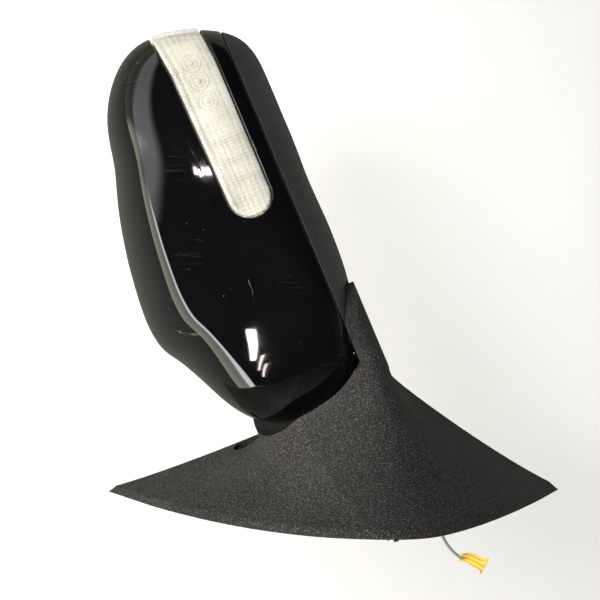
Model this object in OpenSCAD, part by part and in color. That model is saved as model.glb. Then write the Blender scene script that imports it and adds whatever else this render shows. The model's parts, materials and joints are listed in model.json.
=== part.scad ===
// Power-folding door mirror with a side repeater.
// X points outboard from the door, Y to the rear of the car, Z up.
// The origin is the centre of the three mounting studs, on the door face.
// Housing parts are drawn in the housing frame: Z runs up the leaning fold axis, from its foot,
// X outboard and Y to the rear.

/* [Housing] */
// Height of the mirror housing along the fold axis
housing_h = 118; // [112:1:124]
// Depth of the housing in front of the glass rim
housing_d = 84; // [80:1:88]
// Wall thickness of the painted cover and the casings
wall = 2.6; // [2.2:0.1:3]
// Gap along the seams between outer panels
seam = 0.7; // [0.5:0.1:1.2]

/* [Base] */
// Thickness of the die-cast plate on the door
plate_t = 5; // [4:0.5:6]
// Diameter of the circle through the three studs
stud_pcd = 72; // [66:1:76]
// Diameter of the mounting studs
stud_d = 6; // [5:0.5:8]
// Length of the studs behind the door face
stud_len = 11; // [10:1:15]
// Lean of the fold axis from vertical
lean = 22.8; // [20:0.2:25]

/* [Fold drive] */
// Outside diameter of the fold post
post_d = 20; // [18:0.5:21]
// Bore through the fold post for the wires
post_bore = 13; // [10:0.5:14]
// Wire diameter of the clutch spring
spring_wire = 2.4; // [2:0.1:2.8]
// Fold angle shown
fold_pose = 0; // [0:1:60]

/* [Glass] */
// Thickness of the mirror glass
glass_t = 2.2; // [1.8:0.1:3]
// Inset of the glass edge from the housing rim
glass_inset = 10; // [9:0.5:12]

/* [Hidden] */
$fn = 48;

AXIS_FOOT = [93.9, 12, 3.7]; // foot of the fold axis
THIRDS = [90, 210, 330];     // angles of the studs and of the adjuster ears
RIM_Y = 40;                  // rear edge of the housing round the glass

// ---- frames and shared shapes
module on_post() translate(AXIS_FOOT) rotate([0, -lean, 0]) children();
module folded() on_post() rotate([0, 0, fold_pose]) children();
// a point of the unfolded housing frame, in the frame of the car
function from_post(x, y, z) = [
  AXIS_FOOT[0] + x * cos(lean) - z * sin(lean),
  AXIS_FOOT[1] + y,
  AXIS_FOOT[2] + x * sin(lean) + z * cos(lean)];

// cylinders from a point along +X and +Y, and one on the Z axis from height z
module rod_x(at, h, r) translate(at) rotate([0, 90, 0]) cylinder(h = h, r = r);
module rod_y(at, h, r) translate(at) rotate([-90, 0, 0]) cylinder(h = h, r = r);
module disc(z, h, r) translate([0, 0, z]) cylinder(h = h, r = r);
module washer(z, h, inner, outer) translate([0, 0, z]) difference() {
  cylinder(h = h, r = outer);
  disc(-1, h + 2, inner);
}
// pan head with a cross recess on a plain shank, head up
module screw(length, r) {
  difference() {
    cylinder(h = 2.2, r = r * 1.9);
    for (a = [0, 90]) rotate([0, 0, a]) translate([-r * 1.1, -0.4, 1.1]) cube([r * 2.2, 0.8, 2]);
  }
  disc(-length, length + 0.1, r);
}

// smooth curve through the rows [x, value] of a table; a value is a number or a point
function span_at(table, x, i = 0) =
  i >= len(table) - 2 || x <= table[i + 1][0] ? i : span_at(table, x, i + 1);
function slope(table, i) =
  let (from = max(i - 1, 0), to = min(i + 1, len(table) - 1))
  (table[to][1] - table[from][1]) / (table[to][0] - table[from][0]);
function curve(table, x) =
  let (
    held = min(max(x, table[0][0]), table[len(table) - 1][0]),
    i = span_at(table, held),
    span = table[i + 1][0] - table[i][0],
    t = (held - table[i][0]) / span,
    leave = slope(table, i) * span,
    arrive = slope(table, i + 1) * span
  )
  table[i][1] * (1 + 2 * t) * pow(1 - t, 2) + leave * t * pow(1 - t, 2)
    + table[i + 1][1] * t * t * (3 - 2 * t) - arrive * t * t * (1 - t);

// Triangles between rings of count points. The corners between two rings are numbered
// 0 this point, 1 its neighbour, 2 and 3 the same on the next ring; split names two triangles.
function side_faces(rings, count, split, start = 0) = [
  for (triangle = split) for (k = [0:rings - 2]) for (i = [0:count - 1])
    let (
      base = start + k * count,
      j = (i + 1) % count,
      corners = [base + i, base + j, base + count + i, base + count + j]
    )
    [for (c = triangle) corners[c]]];

// ---- housing surface
RIM_CENTRE = [78, 42]; // x and z
// rim outline: angle about RIM_CENTRE, radius
RIM = [
  [-180, 113], [-165, 111], [-155, 103], [-148, 92], [-140, 82], [-125, 69], [-110, 61],
  [-90, 57], [-70, 60.5], [-50, 75], [-38, 93], [-32, 107.5], [-28, 112.5], [-22, 115],
  [-10, 116.5], [0, 116.5], [8, 112.5], [17, 103], [25, 92], [35, 76.5], [50, 66.5],
  [70, 60.5], [90, 60.5], [105, 64.5], [118, 71], [128, 76], [138, 78], [150, 86],
  [162, 100], [172, 110], [180, 113]];
RIM_H = 118; // housing height the rim table is drawn at
// y of the rear edge by x; the inboard end tucks in round the fold axis
REAR_EDGE = [[-40, 8], [-20, 17], [0, 29], [20, 38], [34, RIM_Y], [60, RIM_Y], [200, RIM_Y]];
// y of the front by x, at the depth FRONT_D
FRONT = [[-40, -10], [-30, -17], [-20, -24], [0, -33], [20, -38], [40, -41.5], [90, -44],
  [150, -43], [180, -41], [200, -39]];
FRONT_D = 84;
RIM_N = 64;  // points round each ring of the housing
BOWL_N = 11; // rings from the middle of the front to the rim

function rim_point(angle, inset = 0) =
  let (r = curve(RIM, angle) - inset)
  [RIM_CENTRE[0] + r * cos(angle), RIM_CENTRE[1] + r * sin(angle) * housing_h / RIM_H];
function rim_angle(i, count = RIM_N) = -180 + i * 360 / count;
function rear_y(x) = curve(REAR_EDGE, x);
function front_y(x) = curve(FRONT, x) - (housing_d - FRONT_D);

// share of the full depth at s, from 0 in the middle to 1 at the rim; upper half rounder
SHOULDER = 0.52; // s where the upper half starts to round off
function depth_share(angle, s) =
  let (
    upper = pow(max(0, sin(angle)), 0.8),
    inboard = pow(max(0, -cos(angle)), 2) * (1 - upper),
    power = 4.5 - 1.6 * upper + 4 * inboard,
    blunt = pow(1 - pow(s, power), 0.46),
    flat = 1 - 0.06 * s,
    fall = s < SHOULDER ? 1 : pow(1 - pow((s - SHOULDER) / (1 - SHOULDER), 1.7), 0.62)
  )
  blunt * (1 - upper) + flat * fall * upper;
// x of the point in the middle that a rim point at x runs in to
function middle_x(x) = 12 + (x + 35) * 140 / 229;
function housing_point(angle, s, inset) =
  let (
    rim = rim_point(angle, inset),
    middle = [middle_x(rim[0]), RIM_CENTRE[1] - 4],
    x = middle[0] + (rim[0] - middle[0]) * s,
    z = middle[1] + (rim[1] - middle[1]) * s
  )
  [x, rear_y(x) - (rear_y(x) - front_y(x) - inset) * depth_share(angle, s), z];

// solid bowl of the housing, smaller by inset, closed at the rim plus back
module bowl(inset = 0, back = 0) {
  points = concat(
    [for (i = [0:RIM_N - 1]) let (p = housing_point(rim_angle(i), 1, inset))
      [p[0], rear_y(p[0]) + back, p[2]]],
    [for (k = [BOWL_N:-1:1]) for (i = [0:RIM_N - 1])
      housing_point(rim_angle(i), sin(90 * pow(k / BOWL_N, 0.9)), inset)],
    [[70, RIM_Y + back, RIM_CENTRE[1]]]);
  rings = BOWL_N + 1;
  first = BOWL_N * RIM_N; // first point of the innermost ring
  half = RIM_N / 2;
  polyhedron(points, concat(
    [for (i = [0:RIM_N - 1]) [i, (i + 1) % RIM_N, rings * RIM_N]],
    side_faces(rings, RIM_N, [[1, 0, 2], [1, 2, 3]]),
    // strips across the innermost ring
    [for (i = [1:half - 2]) [first + i + 1, first + i, first + RIM_N - i]],
    [for (i = [1:half - 2]) [first + i + 1, first + RIM_N - i, first + RIM_N - i - 1]],
    [[first + 1, first, first + RIM_N - 1]],
    [[first + half, first + half - 1, first + half + 1]]), convexity = 6);
}
// flat slab with the rim outline from y0 to y1, cut off inboard of xmin
module rim_slab(inset, y0, y1, xmin = -60)
  translate([0, y1, 0]) rotate([90, 0, 0]) linear_extrude(y1 - y0) intersection() {
    polygon([for (i = [0:71]) rim_point(rim_angle(i, 72), inset)]);
    translate([xmin, -60]) square([400, 300]);
  }

// ---- seat between the housing and the arm, round about the fold axis
// height above the seat foot, radius
SEAT = [[0, 26.5], [2, 29.5], [5, 32], [10, 34.2], [20, 37], [35, 38.5], [48, 38], [58, 36],
  [66, 33], [74, 30], [100, 27]];
SEAT_Z = concat([0, 1.5, 3, 5, 8, 12], [for (z = [16:8:96]) z]);
SEAT_LIFT = 0.8; // height of the housing's seat above the arm's
module seat(gap) rotate_extrude($fn = 64) polygon(concat(
  [[0, 0]], [for (z = SEAT_Z) [curve(SEAT, z) - gap, z]], [[0, 96]]));
// wedge about the fold axis between two angles
module wedge(a, b, z0, z1) translate([0, 0, z0]) linear_extrude(z1 - z0) polygon(concat(
  [[0, 0]], [for (i = [0:8]) let (t = a + (b - a) * i / 8) 300 * [cos(t), sin(t)]]));
// what the housing leaves free for the arm
module arm_room() {
  disc(-40, 40 + SEAT_LIFT, 27.5);
  difference() {
    wedge(62, 274, -80, 95);
    translate([0, 0, SEAT_LIFT]) seat(0.9);
  }
}
// what the arm leaves free for the housing, smaller by gap
module housing_room(gap) on_post() {
  translate([0, 0, -gap]) seat(-gap);
  difference() {
    disc(-90, 240, 140);
    disc(-100, 100 - gap, 26 - gap);
    wedge(122 + gap * 3, 283 - gap * 3, -100, -gap);
    wedge(122 + gap * 3, 236 - gap * 3, -gap - 1, 200);
    translate([-280, -200, -150]) cube([232, 400, 300]);
  }
}

// ---- outer panels; resize([0, 0, 0]) leaves every size as it is
// rods along the repeater slot: start, length, radius
LENS_RODS = [[[88, -60, 20], 60, 11.2], [[160, -70, 21], 80, 12], [[210, -70, 26], 84, 13]];
// slot for the repeater, along the lower edge and round the tip, larger by gap
module lens_area(gap) for (i = [0, 1]) hull() for (rod = [LENS_RODS[i], LENS_RODS[i + 1]])
  rod_y(rod[0], rod[1], rod[2] + gap, $fn = 32);

// painted upper part of the housing
module scalp_cover() color([0.02, 0.02, 0.025]) folded() resize([0, 0, 0]) difference() {
  bowl();
  bowl(wall, 1);
  translate([-100, -100, -100 + seam / 2]) cube([400, 300, 100]);
  arm_room();
  lens_area(seam);
}
module lower_casing() color([0.06, 0.06, 0.065]) folded() resize([0, 0, 0]) difference() {
  bowl();
  bowl(wall, 1);
  translate([-100, -100, -seam / 2]) cube([400, 300, 200]);
  arm_room();
}

// thickness of the rear band by x: thick at the glass, thin at the inboard end
BAND_T = [[-40, 3.5], [-10, 4], [20, 8], [34, 10], [200, 10]];
BAND_SHARES = [1, 0.86, 0.72, 0.58, 0.44, 0.3, 0.15]; // rings from the rim to the middle
BAND_X = 70;      // x of the band's middle
BAND_GROW = 0.6;  // band outside the rim outline
JOINT_X = 16;     // parting between joint cap and bezel
function band_y(x, rear) = rear_y(x) + (rear ? curve(BAND_T, x) : seam);
function band_point(i, s, rear) =
  let (
    rim = rim_point(rim_angle(i), -BAND_GROW),
    x = BAND_X + (rim[0] - BAND_X) * s,
    z = RIM_CENTRE[1] + (rim[1] - RIM_CENTRE[1]) * s
  )
  [x, band_y(x, rear), z];
// solid band that follows the rear edge
module rim_band() {
  rings = len(BAND_SHARES);
  side = rings * RIM_N; // points on each side of the band
  points = concat(
    [for (rear = [false, true]) for (s = BAND_SHARES) for (i = [0:RIM_N - 1])
      band_point(i, s, rear)],
    [for (rear = [false, true]) [BAND_X, band_y(BAND_X, rear), RIM_CENTRE[1]]]);
  polyhedron(points, concat(
    [for (i = [0:RIM_N - 1]) [side - RIM_N + (i + 1) % RIM_N, side - RIM_N + i, 2 * side]],
    [for (i = [0:RIM_N - 1])
      [2 * side - RIM_N + i, 2 * side - RIM_N + (i + 1) % RIM_N, 2 * side + 1]],
    side_faces(rings, RIM_N, [[1, 0, 2], [1, 2, 3]]),
    side_faces(rings, RIM_N, [[0, 1, 2], [1, 3, 2]], side),
    // outer edge
    [for (i = [0:RIM_N - 1]) [i, (i + 1) % RIM_N, side + i]],
    [for (i = [0:RIM_N - 1]) [(i + 1) % RIM_N, side + (i + 1) % RIM_N, side + i]]),
    convexity = 8);
}
// band with the glass opening, before it is parted
module rim_parts() difference() {
  union() {
    rim_band();
    rim_slab(wall + 2, RIM_Y - 5, RIM_Y + seam + 1, 27);
  }
  rim_slab(glass_inset - 3, RIM_Y - 20, RIM_Y + 30, 20.6);
  arm_room();
}
module rear_bezel() color([0.05, 0.05, 0.055]) folded() resize([0, 0, 0]) difference() {
  rim_parts();
  translate([-100, -100, -100]) cube([100 + JOINT_X, 300, 400]);
}
// short inboard end of the band, over the fold joint
module joint_cap() color([0.05, 0.05, 0.055]) folded() resize([0, 0, 0]) difference() {
  rim_parts();
  translate([JOINT_X, -100, -100]) cube([300, 300, 400]);
}

// ---- repeater
LAMP_X = [142.5, 153.5, 164.3];
LAMP_Z = 21;
BOARD_Y = -23; // front face of the board
// layer of the housing skin between two insets, inside the slot
module lens_shell(outer, inner, gap) intersection() {
  difference() {
    bowl(outer);
    bowl(inner, 1);
  }
  lens_area(gap);
}
// cuts everything behind y
module behind(y) translate([-60, y, -20]) cube([300, 80, 150]);
module signal_lens() color([0.92, 0.93, 0.95, 0.6]) folded() resize([0, 0, 0]) difference() {
  lens_shell(0, 2.4, 0);
  behind(RIM_Y - 12);
}
module signal_backing() color([0.8, 0.8, 0.8]) folded() resize([0, 0, 0]) difference() {
  lens_shell(9, 11, 2.5);
  behind(RIM_Y - 16);
  for (x = LAMP_X) rod_y([x, -60, LAMP_Z], 60, 3.4);
}
module signal_board() color("darkgreen") folded() difference() {
  translate([116, BOARD_Y, 17.4]) cube([51, 1.6, 11]);
  for (x = [121, 132]) rod_y([x, -40, LAMP_Z], 30, 1.2);
}
// domed lamps that point forward
module signal_leds() color("orange") folded() for (x = LAMP_X)
  translate([x, BOARD_Y, LAMP_Z]) rotate([90, 0, 0])
    rotate_extrude() polygon([[0, 0], [3, 0], [3, 1.8], [2.4, 3], [1.4, 3.8], [0, 4.1]]);

// ---- structure inside the housing
ADJUSTER = [92, 0, 40];  // centre line of the glass adjuster
EAR_R = 30;              // its screw ears, from the centre line
FRAME_SCREWS = [[36, 12], [36, 74], [146, 12], [146, 62]]; // x, z
FRAME_REAR = 14;         // rear face of the frame plate
CASE_SCREW = [-4, 46];   // x, z of the screw into the gear case
CASE_SEAT_REAR = 23.5;   // rear face of the gear case seat
module inner_frame() color([0.25, 0.25, 0.27]) folded() difference() {
  union() {
    rim_slab(15, FRAME_REAR - 4, FRAME_REAR, 24);
    // ribs in front of the plate
    translate([24, 0, 0]) cube([4, 12, 70]);
    for (z = [2, 38, 66]) translate([26, 4, z]) cube([126, 8, 3]);
    // seat for the fold gear case and its link to the plate
    translate([-10, CASE_SEAT_REAR - 3.4, 30]) cube([32, 3.4, 28]);
    translate([20, 10, 30]) cube([4.2, 13.5, 28]);
    for (p = FRAME_SCREWS) rod_y([p[0], FRAME_REAR - 12, p[1]], 12, 4.5);
  }
  for (p = FRAME_SCREWS) rod_y([p[0], -1, p[1]], 20, 1.9);
  for (a = THIRDS)
    rod_y([ADJUSTER[0] + EAR_R * cos(a), -5, ADJUSTER[2] + EAR_R * sin(a)], 30, 1.4);
  // two square openings
  translate([52, -5, 48]) cube([8, 30, 12]);
  translate([128, -5, 46]) cube([12, 30, 14]);
  rod_y([CASE_SCREW[0], 15, CASE_SCREW[1]], 30, 1.4);
}
module frame_screws() color("silver") folded() for (p = FRAME_SCREWS)
  translate([p[0], FRAME_REAR, p[1]]) rotate([-90, 0, 0]) screw(12, 1.7);

// ---- fold drive: the case turns round the fixed post
POST_R = post_d / 2;
POST_FIT = 0.05;      // radial play of turning parts on the post
POST_FOOT = -10.4;
CASE_R = 19;
CASE_TOP = 60;
STACK_R = 16.8;       // outside of the parts stacked on the post
DETENT_R = 13.2;      // circle of the three detents
CIRCLIP_Z = 58.7;
WORM_LINE = [-15, 12.2]; // y, z of the motor and worm axis
// turns Z to +X on the worm axis, from x
module on_worm_line(x) translate([x, WORM_LINE[0], WORM_LINE[1]]) rotate([0, 90, 0]) children();

module fold_gearcase() color([0.12, 0.12, 0.13]) folded() difference() {
  union() {
    disc(4, 9, 14.4);
    translate([0, 0, 12]) cylinder(h = 3.6, r1 = 14.3, r2 = CASE_R);
    disc(15.5, CASE_TOP - 15.5, CASE_R);
    // motor box in front, screw lug behind
    translate([-11.6, -18.9, 8.6]) cube([24.8, 16.5, 10]);
    translate([-9, 12, 40]) cube([10, 8, 12]);
  }
  disc(-1, 80, POST_R + POST_FIT);
  disc(7, 10, 13.2);
  disc(16, 60, 17.6);
  translate([-11.3, -18.52, 8.69]) cube([23.8, 13.4, 8.3]);
  rod_y([CASE_SCREW[0], 14, CASE_SCREW[1]], 30, 1.3);
}
module fold_gearcase_lid() color([0.15, 0.15, 0.16]) folded() difference() {
  lid_z = CASE_TOP + 0.2;
  union() {
    translate([0, 0, lid_z]) cylinder(h = 2.4, r1 = 18.8, r2 = 15.8);
    disc(lid_z, 5.4, 14.2);
  }
  disc(50, 13.8, 12.5);
  disc(50, 30, 7.2);
}
module gearcase_screws() color("silver") folded()
  translate([CASE_SCREW[0], CASE_SEAT_REAR, CASE_SCREW[1]]) rotate([-90, 0, 0]) screw(6, 1.25);
module fold_motor() color([0.7, 0.7, 0.72]) folded() on_worm_line(-11.2) difference() {
  union() {
    cylinder(h = 6.3, r = 3.5);
    disc(6.2, 1.2, 2);
  }
  disc(4.4, 10, 1.06);
}
module fold_worm() color("gold") folded() on_worm_line(-4) {
  disc(-2, 16, 1);
  // thread from an off-centre round, twisted
  translate([0, 0, 2]) linear_extrude(8, twist = -720, slices = 24)
    translate([0.35, 0]) circle(r = 2.2, $fn = 10);
}
// helix of round wire from z0 up by h
module coil(mean_r, wire_r, z0, h, turns) {
  per_turn = 18;
  round_wire = 8;
  steps = turns * per_turn;
  points = [
    for (i = [0:steps]) let (a = i * 360 / per_turn, z = z0 + h * i / steps)
      for (j = [0:round_wire - 1]) let (b = j * 360 / round_wire, r = mean_r + wire_r * cos(b))
        [r * cos(a), r * sin(a), z + wire_r * sin(b)]];
  polyhedron(points, concat(
    [[for (j = [round_wire - 1:-1:0]) j]],
    [[for (j = [0:round_wire - 1]) steps * round_wire + j]],
    side_faces(steps + 1, round_wire, [[0, 3, 2], [0, 1, 3]])), convexity = 8);
}
module clutch_spring() color("silver") folded()
  coil(mean_r = 13.9, wire_r = spring_wire / 2, z0 = 31, h = 24, turns = 4);
module spring_washer() color("silver") folded() washer(56.6, 1.6, POST_R + 0.3, STACK_R);
// ring with three bumps underneath
module detent_slider() color([0.85, 0.85, 0.8]) folded() union() {
  washer(24, 5.6, POST_R + POST_FIT, STACK_R);
  for (a = [0:120:240]) rotate([0, 0, a]) translate([DETENT_R, 0, 22.6]) cylinder(h = 2, r = 2.2);
}
module drive_gear() color([0.9, 0.88, 0.8]) on_post() difference() {
  washer(8, 8, POST_R, 12.3);
  // gaps between the teeth
  for (a = [0:15:345]) rotate([0, 0, a + 7.5]) translate([12.9, 0, 7]) cylinder(h = 10, r = 1.1);
}
// fixed ring with three pockets on top
module detent_ring() color([0.3, 0.3, 0.3]) on_post() difference() {
  washer(16.4, 5.8, POST_R, STACK_R);
  for (a = [0:120:240])
    rotate([0, 0, a + 60]) translate([DETENT_R, 0, 21.2]) cylinder(h = 2, r = 2.6);
}
module fold_post() color("silver") on_post() difference() {
  union() {
    disc(POST_FOOT, 60 - POST_FOOT, POST_R);
    disc(POST_FOOT, 2.4, POST_R + 3);
  }
  disc(-20, 90, post_bore / 2);
  // circlip groove
  washer(CIRCLIP_Z - 0.1, 1.2, POST_R - 0.8, POST_R + 2);
}
module post_circlip() color([0.4, 0.4, 0.42]) on_post() difference() {
  washer(CIRCLIP_Z, 1, POST_R - 0.75, POST_R + 1.9);
  translate([0, -2.5, 55]) cube([20, 5, 8]);
}

// ---- glass and its adjuster, drawn with Z to the rear and Y down
BALL_Z = 32;             // centre of the pivot ball
UP_PLUNGER = [0, -19];   // above the ball
SIDE_PLUNGER = [19, 0];  // outboard of the ball
PLUNGERS = [UP_PLUNGER, SIDE_PLUNGER];
PIN_R = 1.3;
PIN_HOLE_R = 1.4;
module at_adjuster() translate(ADJUSTER) rotate([-90, 0, 0]) children();
module at_ears(z) for (a = THIRDS) rotate([0, 0, -a]) translate([EAR_R, 0, z]) children();
module at_plunger(p, z = 0) translate([p[0], p[1], z]) children();

module adjuster_case() color([0.1, 0.1, 0.1]) folded() at_adjuster() difference() {
  union() {
    disc(14.1, 10, 26);
    at_ears(14.4) cylinder(h = 3.7, r = 5);
  }
  disc(13, 9, 24);
  disc(10, 30, 3);
  at_ears(10) cylinder(h = 20, r = 1.5);
  for (p = PLUNGERS) at_plunger(p, 10) cylinder(h = 30, r = 3.06);
}
module adjuster_motors() color([0.7, 0.7, 0.7]) folded() at_adjuster()
  for (a = [135, 225]) rotate([0, 0, a]) translate([5, 0, 18]) rotate([0, 90, 0]) {
    cylinder(h = 13, r = 3.4);
    disc(12.9, 3, 0.8);
  }
module adjuster_screws() color("silver") folded() at_adjuster() at_ears(18.1) screw(8, 1.4);
module pivot_ball() color([0.85, 0.85, 0.8]) folded() at_adjuster() difference() {
  union() {
    disc(15, 13, 3);
    translate([0, 0, BALL_Z]) sphere(r = 6);
    disc(24.2, 2.4, 7);
    // cross pin the tilt ring rocks on, up and down
    rod_x([-9.6, 0, BALL_Z], 19.2, PIN_R);
  }
  disc(34, 10, 1.6);
}
// jack plunger, its ball tip inside a socket on the glass holder
module plunger() {
  disc(17.2, 13.8, 3);
  translate([0, 0, 31.6]) sphere(r = 3.1, $fn = 32);
}
module up_plunger() color([0.9, 0.9, 0.88]) folded() at_adjuster()
  at_plunger(UP_PLUNGER) plunger();
module side_plunger() color([0.9, 0.9, 0.88]) folded() at_adjuster()
  at_plunger(SIDE_PLUNGER) plunger();
module tilt_ring() color([0.5, 0.5, 0.52]) folded() at_adjuster() difference() {
  union() {
    disc(29, 6, 10.5);
    // upright pin the glass holder turns on
    rod_y([0, -13, BALL_Z], 26, PIN_R);
  }
  translate([0, 0, BALL_Z]) sphere(r = 6.3);
  disc(20, 12, 6.3);
  disc(BALL_Z, 12, 5);
  rod_x([-12, 0, BALL_Z], 24, PIN_HOLE_R);
}
module glass_holder() color([0.08, 0.08, 0.08]) folded() difference() {
  union() {
    rim_slab(glass_inset + 1.4, 38.4, 40.4, 24);
    at_adjuster() washer(30, 9, 11, 14);
    for (p = PLUNGERS) at_adjuster() at_plunger(p, 35.6) cylinder(h = 3.2, r = 4.4);
  }
  // hole for the upright pin
  translate([ADJUSTER[0], BALL_Z, ADJUSTER[2] - 14]) cylinder(h = 28, r = PIN_HOLE_R);
}
module heater_pad() color([0.6, 0.45, 0.25]) folded() rim_slab(glass_inset + 3, 40.45, 41, 26.5);
module mirror_glass() color([0.75, 0.8, 0.85]) folded()
  rim_slab(glass_inset + 0.8, 41.05, 41.05 + glass_t, 23.4);

// ---- base
// Both outlines have a front arc, smoothed through a table, and a straight rear edge.
OUTLINE_N = 40; // points in all
ARC_N = 28;     // steps along the front arc
NECK_N = 12;    // rings of the skin from the door to the neck
DOOR_SHIFT = [12, 30]; // y, z of the door table's zero
// door outline: share along the arc, [y, z]
DOOR_ARC = [
  [0, [39, 113]], [0.06, [16, 97]], [0.14, [-15, 75]], [0.3, [-58, 35]], [0.45, [-84, -4]],
  [0.58, [-92, -39]], [0.68, [-89, -60]], [0.76, [-76, -76]], [0.86, [-44, -101]],
  [0.94, [2, -130]], [1, [46, -154]]];
// neck outline in the housing frame: share along the arc, [y, z]
NECK_ARC = [
  [0, [30, 62]], [0.1, [26, 67]], [0.25, [12, 68]], [0.4, [-4, 63]], [0.5, [-15, 52]],
  [0.58, [-21, 41]], [0.7, [-25.5, 14]], [0.8, [-25.5, -7]], [0.88, [-14, -13.5]],
  [0.94, [4, -14]], [1, [26, -12]]];
// how strongly the skin flares out towards the door, by share along the arc
FLARE = [[0, 1.02], [0.15, 1.04], [0.35, 1.15], [0.6, 1.3], [0.85, 1.38], [0.95, 1.3], [1, 1.06]];
REAR_FLARE = 1.04;
LIP = 2.5; // height of the skin's edge at the door

function outline(arc, i) = i <= ARC_N ? curve(arc, i / ARC_N)
  : let (end = arc[len(arc) - 1][1], t = (i - ARC_N) / (OUTLINE_N - ARC_N))
    end + (arc[0][1] - end) * t;
function towards(point, centre, by) =
  point - (point - centre) / norm(point - centre) * by;
// the two sharp corners move in further
function near_corner(i) = i < 2 || i > OUTLINE_N - 2 || (i > ARC_N - 3 && i < ARC_N + 2);
function door_point(i, inset) = DOOR_SHIFT
  + towards(outline(DOOR_ARC, i), [20, -22], inset * (near_corner(i) ? 2.6 : 1));
function neck_point(i, inset) = towards(outline(NECK_ARC, i), [0, 20], inset);
// a point of the skin: s = 0 on the door, s = 1 at the neck
function skin_point(i, s, inset) =
  let (
    door = door_point(i, inset),
    n = neck_point(i, inset),
    neck = from_post(-26 - 0.14 * n[1], n[0], n[1]),
    flare = i <= ARC_N ? curve(FLARE, i / ARC_N) : REAR_FLARE,
    share = 1 - pow(1 - s, flare)
  )
  [LIP + (neck[0] - LIP) * pow(s, 1.12),
    door[0] + (neck[1] - door[0]) * share,
    door[1] + (neck[2] - door[1]) * share];
// solid arm from x0 at the door, over the neck and straight on along the arm
module skin(inset, x0) {
  points = concat(
    [for (i = [0:OUTLINE_N - 1]) let (p = door_point(i, inset)) [x0, p[0], p[1]]],
    [for (k = [1:NECK_N]) for (i = [0:OUTLINE_N - 1])
      skin_point(i, 0.05 + 0.95 * (k - 1) / (NECK_N - 1), inset)],
    [for (i = [0:OUTLINE_N - 1]) let (n = neck_point(i, inset))
      from_post(30 - inset, n[0], n[1])]);
  rings = NECK_N + 2;
  polyhedron(points, concat(
    [[for (i = [0:OUTLINE_N - 1]) i]],
    [[for (i = [OUTLINE_N - 1:-1:0]) (rings - 1) * OUTLINE_N + i]],
    side_faces(rings, OUTLINE_N, [[0, 3, 1], [0, 2, 3]])), convexity = 8);
}
module base_cover() color([0.07, 0.07, 0.075]) resize([0, 0, 0]) difference() {
  skin(0, 0);
  difference() {
    skin(wall, -1);
    housing_room(wall);
  }
  housing_room(0);
  on_post() disc(-8, 20, 16.2);
}

PLATE_SCREWS = [[16, 90], [-24, -40], [38, -82]]; // y, z
PLATE_SCREW_R = 1.9;
STUD_SHOULDER_R = stud_d / 2 + 1.5;
// slab with the door outline, from the door face outboard
module door_slab(t, inset) rotate([90, 0, 90]) linear_extrude(t)
  polygon([for (i = [0:OUTLINE_N - 1]) door_point(i, inset)]);
// turns Z to +X at each stud
module at_studs() for (a = THIRDS)
  rotate([a, 0, 0]) translate([0, stud_pcd / 2, 0]) rotate([0, 90, 0]) children();

module sail_gasket() color([0.12, 0.12, 0.12]) difference() {
  door_slab(2.2, wall + 3.4);
  translate([-1, 0, 0]) door_slab(6, wall + 7.6);
}
module base_bracket() color([0.6, 0.6, 0.62]) difference() {
  union() {
    door_slab(plate_t, wall + 8.2);
    // arm out to the fold head
    hull() {
      translate([plate_t - 1, -16, -32]) cube([1, 44, 52]);
      translate([52, 0, -22]) cube([1, 24, 22]);
    }
    on_post() intersection() {
      translate([-60, -12, -8]) cube([60, 24, 5]);
      disc(-20, 30, 60);
    }
    on_post() disc(-8, 7, 15);
  }
  // room for the post and its flange
  on_post() disc(-30, 40, POST_R);
  on_post() disc(-30, 22.05, POST_R + 3.2);
  at_studs() disc(-1, plate_t + 40, STUD_SHOULDER_R);
  // wire way
  rod_x([-1, 13, -43], 20, 6);
  for (p = PLATE_SCREWS) rod_x([-1, p[0], p[1]], 20, 2);
}
module mounting_studs() color("silver") at_studs() {
  disc(-stud_len, stud_len + 0.1, stud_d / 2);
  // pressed shoulder inside the plate
  cylinder(h = plate_t, r = STUD_SHOULDER_R);
}
module bracket_screws() color("silver") for (p = PLATE_SCREWS)
  translate([0, p[0], p[1]]) rotate([0, -90, 0]) translate([0, 0, -1]) {
    cylinder(h = 1, r = PLATE_SCREW_R);
    disc(-6, 6.1, PLATE_SCREW_R);
  }

// loose wire that leaves the plate, and the terminal on its end
WIRE_PATH = [[8, 14, -40], [-4, 12, -43.5], [-14, 11, -48], [-23, 11.5, -52], [-30, 12, -59]];
WIRE_END = len(WIRE_PATH) - 1;
module wire_loom() color([0.3, 0.3, 0.32]) for (i = [0:WIRE_END - 1]) hull() {
  translate(WIRE_PATH[i]) sphere(r = 0.9, $fn = 12);
  translate(WIRE_PATH[i + 1]) sphere(r = 0.9, $fn = 12);
}
module wire_terminal() color([0.75, 0.6, 0.2])
  translate(WIRE_PATH[WIRE_END]) rotate([0, 30, 0]) translate([-4, -1.2, -14]) difference() {
    cube([8, 2.4, 14]);
    translate([4, 1.2, 9]) cylinder(h = 10, r = 0.95);
  }

base_cover();
sail_gasket();
base_bracket();
mounting_studs();
bracket_screws();
fold_post();
drive_gear();
detent_ring();
wire_loom();
wire_terminal();
scalp_cover();
lower_casing();
rear_bezel();
joint_cap();
inner_frame();
fold_gearcase();
fold_gearcase_lid();
fold_motor();
clutch_spring();
spring_washer();
detent_slider();
post_circlip();
signal_lens();
signal_backing();
signal_board();
signal_leds();
adjuster_case();
adjuster_motors();
adjuster_screws();
frame_screws();
gearcase_screws();
pivot_ball();
fold_worm();
up_plunger();
side_plunger();
tilt_ring();
glass_holder();
heater_pad();
mirror_glass();
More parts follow.
